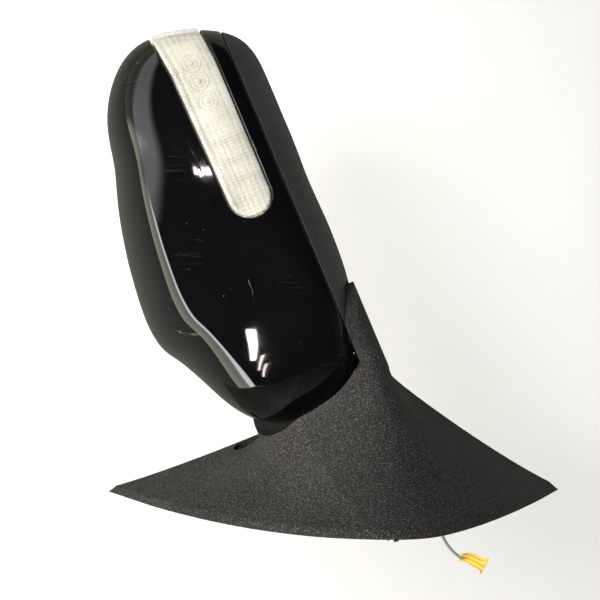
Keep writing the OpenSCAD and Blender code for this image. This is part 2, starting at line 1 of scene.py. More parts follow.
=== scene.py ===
"""A folding door mirror: housing, rear bezel, glass, side repeater, foot, and a loose wire.

World frame: the foot stands on the plane x = 0 and the mirror reaches out along +X. The
painted cover faces -Y, the glass +Y, and +Z is up. The housing has its own frame, with the
fold axis as its z axis, leaning LEAN about Y. Shapes are in mm, and lights, floor and
camera are in metres.
"""

import bpy
import bmesh
import json
import math
import numpy as np
from mathutils import Matrix, Vector
from mathutils.bvhtree import BVHTree


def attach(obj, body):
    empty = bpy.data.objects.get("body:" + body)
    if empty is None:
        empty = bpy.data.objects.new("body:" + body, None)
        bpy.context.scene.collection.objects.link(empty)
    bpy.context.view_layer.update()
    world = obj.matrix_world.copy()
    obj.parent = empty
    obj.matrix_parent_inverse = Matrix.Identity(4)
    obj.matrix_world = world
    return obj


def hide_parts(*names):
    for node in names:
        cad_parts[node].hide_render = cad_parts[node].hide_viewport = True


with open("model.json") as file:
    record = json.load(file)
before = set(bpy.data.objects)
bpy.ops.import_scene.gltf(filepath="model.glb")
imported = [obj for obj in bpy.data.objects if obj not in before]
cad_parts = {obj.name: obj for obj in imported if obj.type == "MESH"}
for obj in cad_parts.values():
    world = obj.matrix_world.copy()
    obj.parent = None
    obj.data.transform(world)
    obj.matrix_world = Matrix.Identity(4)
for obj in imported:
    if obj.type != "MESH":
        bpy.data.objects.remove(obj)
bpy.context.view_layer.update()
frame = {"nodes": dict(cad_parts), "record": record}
MM = 0.001

# ------------------------------------------------------------------ driving sizes, mm
LEAN = math.radians(22.8)
FOLD_ORIGIN = np.array([93.9, 12.0, 3.7])   # origin of the housing frame, in the world
COS_LEAN, SIN_LEAN = math.cos(LEAN), math.sin(LEAN)

WALL = 2.6                # cover, lower casing and foot
LENS_WALL = 2.2
SEAM = 0.7                # gap between cover and lower casing, and round the repeater slot
RIM_CENTRE = (78.0, 42.0)     # x, z in the housing frame
ARM_FROM, ARM_TO = 62, 274    # degrees about the fold axis kept clear for the arm
ARM_RADIUS = 27.5
SEAT_LIFT = 0.8           # height where the clearance changes from barrel to seat
SEAT_GAP = 0.9

# repeater slot stations: x, z, half width
SLOT_INNER = (88, 20, 11.2)
SLOT_MIDDLE = (160, 21, 12)
SLOT_OUTER = (210, 26, 13)
SLOT_BACK = 13.5          # the slot stops at this y

STRIP_START = 76.0        # x of the repeater strip's inboard tip
STRIP_FRONT = 74.0        # length of its run along the front
STRIP_TURN = 78.0         # length of its run round the outboard end
STRIP_LENGTH = STRIP_FRONT + STRIP_TURN
TURN_CENTRE = (150.0, 8.0)    # x, y that the turn is swept about
TURN_RADIUS = 40
TURN_DEGREES = 94


# ------------------------------------------------------------------ curves and frames
def curve(table):
    """Smooth curve through the table's (position, value) points, held flat beyond its ends."""
    xs = np.array([row[0] for row in table], float)
    ys = np.array([row[1] for row in table], float)
    slope = np.empty(len(xs))
    slope[0] = (ys[1] - ys[0]) / (xs[1] - xs[0])
    slope[-1] = (ys[-1] - ys[-2]) / (xs[-1] - xs[-2])
    slope[1:-1] = (ys[2:] - ys[:-2]) / (xs[2:] - xs[:-2])

    def value(x):
        x = np.clip(np.asarray(x, float), xs[0], xs[-1])
        i = np.clip(np.searchsorted(xs, x, side="left") - 1, 0, len(xs) - 2)
        step = xs[i + 1] - xs[i]
        u = (x - xs[i]) / step
        return (ys[i] * (1 + 2 * u) * (1 - u) ** 2
                + slope[i] * step * u * (1 - u) ** 2
                + ys[i + 1] * u * u * (3 - 2 * u)
                - slope[i + 1] * step * u * u * (1 - u))
    return value


def smooth_curve(table, start=-45, end=205, count=1200, rounds=500):
    """The table's curve, sampled and relaxed."""
    xs = np.linspace(start, end, count)
    ys = curve(table)(xs)
    for _ in range(rounds):
        relaxed = ys.copy()
        relaxed[1:-1] = 0.5 * ys[1:-1] + 0.25 * (ys[2:] + ys[:-2])
        ys = relaxed
    return lambda x: np.interp(x, xs, ys)


def smooth_ring(values, rounds, fixed=()):
    """Relaxes a closed row of values; those at the fixed places stay."""
    fixed = list(fixed)
    for _ in range(rounds):
        relaxed = 0.5 * values + 0.25 * (np.roll(values, 1) + np.roll(values, -1))
        relaxed[fixed] = values[fixed]
        values = relaxed
    return values


def to_world(points):
    points = np.asarray(points, float)
    x, y, z = points[..., 0], points[..., 1], points[..., 2]
    return np.stack([FOLD_ORIGIN[0] + x * COS_LEAN - z * SIN_LEAN, FOLD_ORIGIN[1] + y,
                     FOLD_ORIGIN[2] + x * SIN_LEAN + z * COS_LEAN], -1)


def to_housing(points):
    points = np.asarray(points, float) - FOLD_ORIGIN
    x, y, z = points[..., 0], points[..., 1], points[..., 2]
    return np.stack([x * COS_LEAN + z * SIN_LEAN, y, -x * SIN_LEAN + z * COS_LEAN], -1)


# ------------------------------------------------------------------ housing shape
# Rim outline about RIM_CENTRE: degrees from +x towards +z, radius
RIM = [
    (-180, 113), (-165, 111), (-155, 103), (-148, 92), (-140, 82), (-125, 69), (-110, 61),
    (-90, 57), (-70, 60.5), (-50, 75), (-38, 93), (-32, 107.5), (-28, 112.5), (-22, 115),
    (-10, 116.5), (0, 116.5), (8, 112.5), (17, 103), (25, 92), (35, 76.5), (50, 66.5),
    (70, 60.5), (90, 60.5), (105, 64.5), (118, 71), (128, 76), (138, 78), (150, 86),
    (162, 100), (172, 110), (180, 113)]
RIM_ANGLES = np.arange(-180, 180, 0.5)
RIM_RADII = smooth_ring(curve(RIM)(RIM_ANGLES), rounds=60)

# y of the housing's rear edge and of its front, against x
rear_edge = smooth_curve([(-40, 8), (-20, 17), (0, 29), (20, 38), (34, 40), (60, 40),
                          (200, 40)])
front_face = smooth_curve([(-40, -10), (-30, -17), (-20, -24), (0, -33), (20, -38),
                           (40, -41.5), (90, -44), (150, -43), (180, -41), (200, -39)])
# thickness of the bezel behind the rear edge, against x
bezel_depth = smooth_curve([(-40, 3.5), (-10, 4), (20, 8), (34, 10), (200, 10)])
# radius of the arm's flared seat, against height on the fold axis
seat_radius = curve([(0, 26.5), (2, 29.5), (5, 32), (10, 34.2), (20, 37), (35, 38.5),
                     (48, 38), (58, 36), (66, 33), (74, 30), (100, 27)])

SPINE_FROM = (-35, 12)    # rim x, and the x on the spine that its section shrinks towards
SPINE_TO = (194, 152)
SPINE_DROP = 4            # the spine lies this far below the rim's centre
BULGE_START = 0.52        # share of the way out where the upper slope begins to fall


def rim_radius(angle):
    angle = (np.asarray(angle, float) + 180) % 360 - 180
    return np.interp(angle, np.append(RIM_ANGLES, 180.0), np.append(RIM_RADII, RIM_RADII[0]))


def depth_share(angle, out):
    """Share of the full depth at `out` of the way from spine to rim: boxy below, sloped above."""
    up = np.clip(np.sin(np.radians(angle)), 0, 1)
    upper = up * up * (3 - 2 * up) * 0.5 + 0.5 * up ** 1.2
    inboard = np.clip(-np.cos(np.radians(angle)), 0, 1) ** 2 * (1 - upper)
    boxiness = 4.5 - 1.6 * upper + 4 * inboard
    boxy = np.power(np.clip(1 - np.power(out, boxiness), 0, 1), 0.46)
    fall = np.clip((out - BULGE_START) / (1 - BULGE_START), 0, 1)
    sloped = (1 - 0.06 * out * out) * np.power(np.clip(1 - np.power(fall, 1.45), 0, 1), 0.62)
    return boxy * (1 - upper) + sloped * upper


def housing_point(angle, out, inset=0.0):
    radius = rim_radius(angle) - inset
    rim_x = RIM_CENTRE[0] + radius * np.cos(np.radians(angle))
    rim_z = RIM_CENTRE[1] + radius * np.sin(np.radians(angle))
    spine_x = SPINE_FROM[1] + ((rim_x - SPINE_FROM[0]) * (SPINE_TO[1] - SPINE_FROM[1])
                               / (SPINE_TO[0] - SPINE_FROM[0]))
    spine_z = RIM_CENTRE[1] - SPINE_DROP
    x = spine_x + (rim_x - spine_x) * out
    z = spine_z + (rim_z - spine_z) * out
    rear = rear_edge(x)
    y = rear - (rear - front_face(x) - inset) * depth_share(angle, out)
    return np.stack([x, y, z], -1)


# ------------------------------------------------------------------ sheets
class Sheet:
    """A dense surface cut along smooth rules. Rows hold x, y, z and the normal."""

    def __init__(self, points, faces):
        self.faces = [tuple(face) for face in faces]
        points = np.asarray(points, float)
        normals = np.zeros_like(points)
        for face in self.faces:
            corners = points[list(face)]
            total = np.zeros(3)
            for i in range(1, len(face) - 1):
                total += np.cross(corners[i] - corners[0], corners[i + 1] - corners[0])
            normals[list(face)] += total
        normals /= np.maximum(np.linalg.norm(normals, axis=1), 1e-12)[:, None]
        self.rows = np.hstack([points, normals])

    @property
    def points(self):
        return self.rows[:, :3]

    def copy(self):
        return Sheet(self.points, self.faces)

    def cut(self, rule, level=0.0, keep_both=False):
        """Splits faces where rule = level and keeps the side above, or both sides."""
        height = rule(self.points) - level
        height = np.where(np.abs(height) < 1e-7, 1e-7, height)
        above = height > 0
        rows, crossings, kept = list(self.rows), {}, []
        for face in self.faces:
            sides = [above[i] for i in face]
            if all(sides):
                kept.append(face)
                continue
            if not any(sides):
                if keep_both:
                    kept.append(face)
                continue
            upper, lower = [], []
            for a, b in zip(face, face[1:] + face[:1]):
                (upper if above[a] else lower).append(a)
                if above[a] != above[b]:
                    key = (a, b) if a < b else (b, a)
                    if key not in crossings:
                        t = height[a] / (height[a] - height[b])
                        rows.append(self.rows[a] * (1 - t) + self.rows[b] * t)
                        crossings[key] = len(rows) - 1
                    upper.append(crossings[key])
                    lower.append(crossings[key])
            if len(upper) > 2:
                kept.append(tuple(upper))
            if keep_both and len(lower) > 2:
                kept.append(tuple(lower))
        used = sorted({i for face in kept for i in face})
        place = {old: new for new, old in enumerate(used)}
        self.rows = np.array(rows)[used]
        self.faces = [tuple(place[i] for i in face) for face in kept]

    def roll_edge(self, rule, radius):
        """Cuts along rule = 0 and rolls the edge inwards by the radius."""
        self.cut(rule)
        for share in (0.05, 0.25, 0.6, 1.0):
            self.cut(rule, share * radius, keep_both=True)
        inside = np.clip(rule(self.points), 0, radius)
        drop = radius - np.sqrt(np.clip(radius * radius - (radius - inside) ** 2, 0, None))
        normals = self.rows[:, 3:6]
        length = np.maximum(np.linalg.norm(normals, axis=1), 1e-9)
        self.rows[:, :3] -= normals / length[:, None] * drop[:, None]


def grid_faces(across, along, closed=True):
    """Quads over `along` rows of `across` points."""
    faces = []
    for k in range(along - 1):
        for i in range(across if closed else across - 1):
            j = (i + 1) % across
            faces.append((k * across + i, k * across + j,
                          (k + 1) * across + j, (k + 1) * across + i))
    return faces


def housing_sheet(across=300, inset=0.0):
    """The whole housing surface, rim first, closed over the spine by a strip of quads."""
    out = np.concatenate([np.linspace(0.03, 0.5, 26), np.linspace(0.5, 0.9, 40)[1:],
                          1 - 0.1 * np.linspace(1, 0, 26)[1:] ** 2])
    angles, outs = np.meshgrid(-180 + np.arange(across) * 360 / across, out[::-1])
    faces = grid_faces(across, len(out))
    last = (len(out) - 1) * across
    half = across // 2
    for i in range(1, half - 1):
        faces.append((last + i + 1, last + i, last + across - i, last + across - i - 1))
    faces.append((last + 1, last, last + across - 1))
    faces.append((last + half, last + half - 1, last + half + 1))
    return Sheet(housing_point(angles, outs, inset).reshape(-1, 3), faces)


# ------------------------------------------------------------------ rules, positive where kept
def capsule_distance(x, z, start, end):
    """Distance in x, z to a tapering bar between two slot stations."""
    dx, dz = end[0] - start[0], end[1] - start[1]
    t = np.clip(((x - start[0]) * dx + (z - start[1]) * dz) / (dx * dx + dz * dz), 0, 1)
    radius = start[2] + (end[2] - start[2]) * t
    return np.hypot(x - start[0] - t * dx, z - start[1] - t * dz) - radius


def outside_slot(points):
    x, y, z = points[:, 0], points[:, 1], points[:, 2]
    bars = np.minimum(capsule_distance(x, z, SLOT_INNER, SLOT_MIDDLE),
                      capsule_distance(x, z, SLOT_MIDDLE, SLOT_OUTER))
    return np.maximum(bars, y - SLOT_BACK)


def clear_of_arm(points):
    x, y, z = points[:, 0], points[:, 1], points[:, 2]
    start, end = math.radians(ARM_FROM), math.radians(ARM_TO)
    in_wedge = np.maximum(-x * math.sin(start) + y * math.cos(start),
                          x * math.sin(end) - y * math.cos(end))
    radius = np.hypot(x, y)
    low = np.minimum(radius - ARM_RADIUS, -in_wedge)
    high = np.maximum(seat_radius(z - SEAT_LIFT) - SEAT_GAP - radius, -in_wedge)
    return np.where(z < SEAT_LIFT, low, high)


# ------------------------------------------------------------------ mesh objects
def mesh_object(name, points, faces, in_housing=True):
    mesh = bpy.data.meshes.new(name)
    world = (to_world(points) if in_housing else np.asarray(points)) * MM
    mesh.from_pydata([tuple(v) for v in world], [],
                     [tuple(int(i) for i in face) for face in faces])
    mesh.update()
    obj = bpy.data.objects.new(name, mesh)
    bpy.context.collection.objects.link(obj)
    return obj


def recalculate_normals(obj, split_large=False):
    bm = bmesh.new()
    bm.from_mesh(obj.data)
    if split_large:
        bmesh.ops.triangulate(bm, faces=[f for f in bm.faces if len(f.verts) > 4])
    bmesh.ops.recalc_face_normals(bm, faces=bm.faces)
    bm.to_mesh(obj.data)
    bm.free()


def apply_modifiers(obj):
    depsgraph = bpy.context.evaluated_depsgraph_get()
    mesh = bpy.data.meshes.new_from_object(obj.evaluated_get(depsgraph))
    old = obj.data
    obj.modifiers.clear()
    obj.data = mesh
    bpy.data.meshes.remove(old)


def finish_mesh(obj, sharp_angle):
    """Welds the mesh and shades it smooth up to the sharp angle, in degrees."""
    mesh = obj.data
    bm = bmesh.new()
    bm.from_mesh(mesh)
    bmesh.ops.remove_doubles(bm, verts=bm.verts, dist=2e-6)
    bmesh.ops.dissolve_degenerate(bm, edges=bm.edges, dist=1e-6)
    bm.to_mesh(mesh)
    bm.free()
    mesh.polygons.foreach_set("use_smooth", [True] * len(mesh.polygons))
    mesh.set_sharp_from_angle(angle=math.radians(sharp_angle))
    mesh.update()


def thicken(obj, thickness, offset=-1):
    solidify = obj.modifiers.new("wall", "SOLIDIFY")
    solidify.thickness = thickness * MM
    solidify.offset = offset


def sheet_shell(name, sheet, thickness):
    obj = mesh_object(name, sheet.points, sheet.faces)
    thicken(obj, thickness)
    apply_modifiers(obj)
    finish_mesh(obj, sharp_angle=35)
    return obj


def ring_solid(name, rings):
    """Closed solid through rings of world points, capped at both ends."""
    count = len(rings[0])
    last = (len(rings) - 1) * count
    faces = grid_faces(count, len(rings))
    faces.append(tuple(range(count))[::-1])
    faces.append(tuple(last + i for i in range(count)))
    obj = mesh_object(name, np.concatenate(rings), faces, in_housing=False)
    recalculate_normals(obj, split_large=True)
    return obj


# ------------------------------------------------------------------ cutters, in the housing frame
def combine(obj, other, operation="DIFFERENCE"):
    """Applies a boolean with the other solid and removes that solid."""
    modifier = obj.modifiers.new("boolean", "BOOLEAN")
    modifier.object = other
    modifier.operation = operation
    modifier.solver = "MANIFOLD"
    apply_modifiers(obj)
    bpy.data.objects.remove(other)


def prism(outline, bottom, top):
    return ring_solid("cutter", [
        to_world(np.column_stack([outline, np.full(len(outline), z)])) for z in (bottom, top)])


def circle(radius, count=160):
    t = np.linspace(0, 2 * math.pi, count, endpoint=False)
    return radius * np.stack([np.cos(t), np.sin(t)], -1)


def wedge(start, end, bottom, top, radius=300, count=24):
    t = np.radians(np.linspace(start, end, count))
    arc = radius * np.stack([np.cos(t), np.sin(t)], -1)
    return prism(np.concatenate([np.array([[0.0, 0.0]]), arc]), bottom, top)


def box(x0, x1, y0, y1, bottom, top):
    return prism(np.array([[x0, y0], [x1, y0], [x1, y1], [x0, y1]], float), bottom, top)


def seat(grow):
    """The flared seat round the fold axis, grown by a margin and lowered by the same."""
    rings = []
    for z in np.linspace(0, 96, 60):
        outline = circle(seat_radius(z) + grow)
        rings.append(to_world(np.column_stack([outline, np.full(len(outline), z - grow)])))
    return ring_solid("cutter", rings)


def housing_room(grow):
    """The space the foot leaves for the housing, grown by a margin."""
    room = prism(circle(140, 64), -90, 150)
    turn = 3 * grow
    kept_for_foot = [
        prism(circle(26 - grow), -100, -grow),
        wedge(122 + turn, 283 - turn, -100, -grow),
        wedge(122 + turn, 236 - turn, -grow - 1, 200),
        box(-280, -48, -200, 200, -150, 150)]
    for solid in kept_for_foot:
        combine(room, solid)
    combine(room, seat(grow), "UNION")
    return room


# ------------------------------------------------------------------ shader nodes
def add_node(tree, kind, inputs=None, **settings):
    """Adds a shader node. An input may be a value, a socket, or a node (its first output)."""
    node = tree.nodes.new("ShaderNode" + kind)
    for name, value in settings.items():
        setattr(node, name, value)
    for socket, value in (inputs or {}).items():
        if isinstance(value, bpy.types.Node):
            value = value.outputs[0]
        if isinstance(value, bpy.types.NodeSocket):
            tree.links.new(value, node.inputs[socket])
        else:
            node.inputs[socket].default_value = value
    return node


def calc(tree, operation, *values):
    return add_node(tree, "Math", dict(enumerate(values)), operation=operation)


def mix_shader(tree, factor, first, second):
    return add_node(tree, "MixShader", {0: factor, 1: first, 2: second})


def mix_color(tree, factor, first, second):
    mix = add_node(tree, "Mix", {0: factor, 6: first, 7: second}, data_type="RGBA")
    return mix.outputs[2]


def coords(tree, scale=(1, 1, 1)):
    place = add_node(tree, "TexCoord").outputs["Object"]
    return add_node(tree, "Mapping", {"Vector": place, "Scale": scale})


def ramp(tree, factor, stops):
    """Colour ramp; stops are (position, grey or rgb)."""
    node = add_node(tree, "ValToRGB", {"Fac": factor})
    elements = node.color_ramp.elements

    def rgba(color):
        return (*color, 1) if isinstance(color, tuple) else (color, color, color, 1)

    for element, (position, color) in ((elements[0], stops[0]), (elements[1], stops[-1])):
        element.position = position
        element.color = rgba(color)
    for position, color in stops[1:-1]:
        elements.new(position).color = rgba(color)
    return node


def noise(tree, vector, scale, detail=3.0, rough=0.5):
    return add_node(tree, "TexNoise", {"Scale": scale, "Detail": detail,
                                       "Roughness": rough, "Vector": vector})


def cells(tree, vector, scale):
    return add_node(tree, "TexVoronoi", {"Scale": scale, "Vector": vector})


def bump(tree, height, strength, distance, under=None):
    inputs = {"Strength": strength, "Distance": distance, "Height": height}
    if under is not None:
        inputs["Normal"] = under
    return add_node(tree, "Bump", inputs)


def new_material(name):
    material = bpy.data.materials.new(name)
    material.use_nodes = True
    material.node_tree.nodes.clear()
    return material, material.node_tree


def set_surface(tree, shader):
    add_node(tree, "OutputMaterial", {"Surface": shader})


# ------------------------------------------------------------------ materials
def plastic(name, dark, light, rough, grain, strength, distance=0.0001, metallic=0.0,
            coat=0.0, stretch=(1, 1, 1), cellular=False):
    """Mottled solid with fine grain: `grain` is its scale, the next two its bump."""
    material, tree = new_material(name)
    vector = coords(tree, stretch)
    fine = noise(tree, vector, scale=grain, detail=2.0)
    blotches = noise(tree, vector, scale=14.0, detail=4.0)
    wear = noise(tree, vector, scale=grain * 0.22, detail=4.0)
    if cellular:
        normal = bump(tree, cells(tree, vector, scale=grain), strength, distance)
        normal = bump(tree, fine, strength * 0.8, distance, under=normal)
    else:
        normal = bump(tree, fine, strength, distance)
    set_surface(tree, add_node(tree, "BsdfPrincipled", {
        "Base Color": ramp(tree, blotches, [(0.35, dark), (0.65, light)]),
        "Roughness": ramp(tree, wear, [(0.3, rough[0]), (0.7, rough[1])]),
        "Metallic": metallic,
        "Coat Weight": coat,
        "Normal": normal}))
    return material


def grained_black():
    """Moulded grain: pale specks of a leather-like texture over a dark base."""
    material, tree = new_material("grained_black")
    vector = coords(tree)
    fine = noise(tree, vector, scale=1500.0, detail=2.0, rough=0.6)
    blotches = noise(tree, vector, scale=16.0, detail=5.0)
    dust = noise(tree, vector, scale=1250.0, detail=2.0, rough=0.6)
    base = ramp(tree, blotches, [(0.3, (0.0085, 0.0082, 0.0080)),
                                 (0.7, (0.0145, 0.0138, 0.0134))])
    specks = ramp(tree, dust, [(0.50, 0.0), (0.72, 0.55)])
    leather = bump(tree, cells(tree, vector, scale=1100.0), strength=0.55, distance=0.00022)
    set_surface(tree, add_node(tree, "BsdfPrincipled", {
        "Base Color": mix_color(tree, specks, base, (0.105, 0.10, 0.085, 1)),
        "Roughness": ramp(tree, fine, [(0.3, 0.40), (0.7, 0.56)]),
        "Normal": bump(tree, fine, strength=0.45, distance=0.00015, under=leather),
        "Specular IOR Level": 0.34}))
    return material


def piano_black():
    """Lacquer: near-black, clear coat, faint waviness, dust and patches of hairlines."""
    material, tree = new_material("piano_black")
    vector = coords(tree)
    base = ramp(tree, noise(tree, vector, scale=9.0),
                [(0.3, (0.0014, 0.0014, 0.0017)), (0.7, (0.0025, 0.0024, 0.0028))])
    # hairlines: thin bands of a stretched noise, kept to patches
    stretched = add_node(tree, "Mapping", {
        "Vector": coords(tree), "Scale": (7.0, 1.0, 0.35), "Rotation": (0.2, 0.5, 0.3)})
    bands = noise(tree, stretched, scale=60.0, detail=0.0)
    hairs = ramp(tree, bands, [(0.496, 0.0), (0.5, 1.0), (0.504, 0.0)])
    patches = ramp(tree, noise(tree, vector, scale=38.0, detail=2.0),
                   [(0.60, 0.0), (0.66, 1.0)])
    dust = ramp(tree, noise(tree, vector, scale=900.0, detail=1.0),
                [(0.80, 0.0), (0.84, 1.0)])
    marks = calc(tree, "MAXIMUM", calc(tree, "MULTIPLY", hairs, patches), dust)
    smears = noise(tree, vector, scale=45.0, detail=5.0)
    waves = bump(tree, noise(tree, vector, scale=55.0, detail=1.0),
                 strength=0.05, distance=0.0004)
    set_surface(tree, add_node(tree, "BsdfPrincipled", {
        "Base Color": mix_color(tree, marks, base, (0.10, 0.10, 0.10, 1)),
        "Roughness": ramp(tree, smears, [(0.35, 0.035), (0.75, 0.10)]),
        "Coat Weight": 1.0,
        "Coat Roughness": 0.02,
        "Normal": waves,
        "Coat Normal": waves}))
    return material


def clear_lens():
    """Slightly hazy clear plastic that reflects on its outer face only."""
    material, tree = new_material("clear_lens")
    vector = coords(tree)
    clear = add_node(tree, "BsdfTransparent", {"Color": (0.93, 0.935, 0.92, 1)})
    milky = add_node(tree, "BsdfDiffuse", {"Color": (0.75, 0.74, 0.70, 1)})
    gloss = add_node(tree, "BsdfGlossy", {
        "Color": (1, 1, 1, 1),
        "Roughness": 0.05,
        "Normal": bump(tree, noise(tree, vector, scale=500.0, detail=2.0),
                       strength=0.08, distance=0.0002)})
    haze = ramp(tree, noise(tree, vector, scale=60.0, detail=4.0),
                [(0.35, 0.10), (0.7, 0.24)])
    backfacing = add_node(tree, "NewGeometry").outputs["Backfacing"]
    front = calc(tree, "SUBTRACT", 1.0, backfacing)
    most_reflection = 0.30
    fresnel = add_node(tree, "Fresnel", {"IOR": 1.5})
    reflection = calc(tree, "MINIMUM", fresnel, most_reflection)
    set_surface(tree, mix_shader(tree, calc(tree, "MULTIPLY", reflection, front),
                                 mix_shader(tree, haze, clear, milky), gloss))
    return material


def silvered_glass():
    material, tree = new_material("silvered_glass")
    vector = coords(tree)
    set_surface(tree, add_node(tree, "BsdfPrincipled", {
        "Base Color": ramp(tree, noise(tree, vector, scale=12.0),
                           [(0.3, (0.80, 0.84, 0.87)), (0.7, (0.84, 0.87, 0.89))]),
        "Metallic": 1.0,
        "Roughness": ramp(tree, noise(tree, vector, scale=80.0, detail=4.0),
                          [(0.4, 0.008), (0.75, 0.035)])}))
    return material


def ribbed_reflector():
    """Pale reflector with cross ribs and long flutes, laid out by the "strip" UV in mm. Its
    colour has painted shade along the rib lines, and a faint emission is a painted glow.
    """
    material, tree = new_material("ribbed_reflector")
    strip_uv = add_node(tree, "UVMap", uv_map="strip")
    split = add_node(tree, "SeparateXYZ", {0: strip_uv})

    def ribs(position, pitch, sharpness):
        wave = calc(tree, "SINE", calc(tree, "MULTIPLY", position, math.pi / pitch))
        return calc(tree, "POWER", calc(tree, "ABSOLUTE", wave), sharpness)

    cross = ribs(split.outputs[0], pitch=1.75, sharpness=0.55)
    flutes = ribs(split.outputs[1], pitch=2.6, sharpness=0.45)
    soft = noise(tree, coords(tree), scale=55.0)
    soft_share = 0.5
    # darker rib lines: painted shade in the rib valleys, over a soft random tone
    painted_rib_shade_and_tone = calc(tree, "MULTIPLY_ADD", soft, soft_share,
                  calc(tree, "MULTIPLY", cross, flutes))
    color = ramp(tree, painted_rib_shade_and_tone, [(0.25, (0.20, 0.14, 0.085)), (0.62, (0.52, 0.46, 0.37)),
                                (0.95, (0.52, 0.485, 0.41))])
    set_surface(tree, add_node(tree, "BsdfPrincipled", {
        "Base Color": color,
        # faint emission: painted glow, since the reflector gives no light of its own
        "Emission Color": color,
        "Emission Strength": 0.10,
        "Metallic": 0.25,
        "Roughness": ramp(tree, soft, [(0.3, 0.22), (0.7, 0.36)])}))
    return material


MATERIALS = {
    "textured_black": grained_black(),
    "piano_black": piano_black(),
    "satin_black": plastic(
        "satin_black", dark=(0.017, 0.018, 0.020), light=(0.027, 0.028, 0.030),
        rough=(0.30, 0.42), grain=1300.0, strength=0.18),
    "rubber": plastic(
        "foam_rubber", dark=(0.010, 0.010, 0.010), light=(0.020, 0.019, 0.019),
        rough=(0.75, 0.9), grain=800.0, strength=0.6, distance=0.0002, cellular=True),
    "cast_alloy": plastic(
        "cast_alloy", dark=(0.33, 0.34, 0.35), light=(0.46, 0.46, 0.46),
        rough=(0.42, 0.6), grain=600.0, strength=0.35, distance=0.0002, metallic=1.0),
    "zinc_steel": plastic(
        "zinc_steel", dark=(0.55, 0.54, 0.48), light=(0.68, 0.67, 0.62),
        rough=(0.22, 0.4), grain=900.0, strength=0.15, metallic=1.0),
    "steel": plastic(
        "turned_steel", dark=(0.42, 0.42, 0.43), light=(0.56, 0.56, 0.57),
        rough=(0.2, 0.36), grain=700.0, strength=0.15, metallic=1.0, stretch=(1, 1, 6)),
    "white_nylon": plastic(
        "white_nylon", dark=(0.62, 0.60, 0.53), light=(0.74, 0.72, 0.65),
        rough=(0.4, 0.55), grain=500.0, strength=0.15),
    "wire_grey": plastic(
        "wire_grey", dark=(0.10, 0.10, 0.105), light=(0.16, 0.16, 0.165),
        rough=(0.4, 0.55), grain=400.0, strength=0.15),
    "yellow_tape": plastic(
        "yellow_tape", dark=(0.50, 0.30, 0.03), light=(0.68, 0.46, 0.10),
        rough=(0.5, 0.75), grain=900.0, strength=0.7, distance=0.0002, stretch=(1, 1, 3)),
    "dark_nylon": plastic(
        "dark_nylon", dark=(0.020, 0.020, 0.022), light=(0.034, 0.034, 0.036),
        rough=(0.45, 0.62), grain=700.0, strength=0.3, distance=0.00012),
    "motor_can": plastic(
        "motor_can", dark=(0.48, 0.48, 0.49), light=(0.60, 0.60, 0.60),
        rough=(0.28, 0.42), grain=600.0, strength=0.15, metallic=1.0),
    "clear_lens": clear_lens(),
    "ribbed_reflector": ribbed_reflector(),
    "silver_reflector": plastic(
        "silver_reflector", dark=(0.74, 0.72, 0.67), light=(0.88, 0.87, 0.83),
        rough=(0.22, 0.36), grain=600.0, strength=0.15, metallic=0.75),
    "green_board": plastic(
        "green_board", dark=(0.01, 0.10, 0.04), light=(0.02, 0.16, 0.06),
        rough=(0.25, 0.4), grain=500.0, strength=0.2),
    "clear_led": plastic(
        "clear_led", dark=(0.24, 0.20, 0.14), light=(0.36, 0.32, 0.25),
        rough=(0.10, 0.22), grain=500.0, strength=0.1, coat=1.0),
    "brass": plastic(
        "brass", dark=(0.50, 0.34, 0.12), light=(0.62, 0.45, 0.20),
        rough=(0.22, 0.35), grain=700.0, strength=0.15, metallic=1.0),
    "heater_foil": plastic(
        "heater_foil", dark=(0.42, 0.25, 0.10), light=(0.55, 0.36, 0.18),
        rough=(0.3, 0.5), grain=300.0, strength=0.3, metallic=0.6),
    "mirror": silvered_glass(),
}
BODY_OF = {node: body for body, nodes in frame["record"]["behaviour"]["bodies"].items()
           for node in nodes}


def paint_frame_nodes():
    slot_of = {part["node"]: part.get("material_slot")
               for part in frame["record"]["subparts"]}
    for name, obj in frame["nodes"].items():
        material = MATERIALS.get(slot_of.get(name) or "", MATERIALS["dark_nylon"])
        if not obj.material_slots:
            obj.data.materials.append(material)
        for slot in obj.material_slots:
            slot.material = material


def install(obj, node, slot, material=None):
    """Paints the piece and puts it in place of a CAD node, moving with that node's body."""
    obj.data.materials.clear()
    obj.data.materials.append(MATERIALS[material or slot])
    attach(obj, BODY_OF[node])
    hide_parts(node)


# ------------------------------------------------------------------ cover and lower casing
def build_cover(housing):
    sheet = housing.copy()
    sheet.cut(clear_of_arm)
    sheet.roll_edge(lambda points: points[:, 2] - SEAM / 2, radius=0.6)
    sheet.roll_edge(lambda points: outside_slot(points) - SEAM, radius=0.9)
    install(sheet_shell("cover_skin", sheet, WALL), "scalp_cover", "piano_black")


def build_lower_casing(housing):
    sheet = housing.copy()
    sheet.cut(clear_of_arm)
    sheet.roll_edge(lambda points: -SEAM / 2 - points[:, 2], radius=0.6)
    install(sheet_shell("lower_skin", sheet, WALL), "lower_casing", "satin_black")


# ------------------------------------------------------------------ rear bezel and glass
RING_COUNT = 360
RING_ANGLES = -180 + np.arange(RING_COUNT) * 360.0 / RING_COUNT
RING_COS, RING_SIN = np.cos(np.radians(RING_ANGLES)), np.sin(np.radians(RING_ANGLES))

BEZEL_GAP = 0.7           # behind the housing's rear edge
BEZEL_PROUD = 0.6         # beyond the housing's rim
BEZEL_CORNER = 1.8        # radius of its outer corner
BEZEL_WIDTH = 7.0
BEZEL_INNER_X = 20.6      # straight inboard side of its opening
LIP_RADIUS = 1.4

GLASS_INSET = 10.8
GLASS_INNER_X = 23.6
GLASS_CROWN = 43.25       # y of the pane's middle
GLASS_DOME = 0.7          # fall from the middle to the rounded edge
GLASS_BACK = 41.05
GLASS_ROUND = 0.9


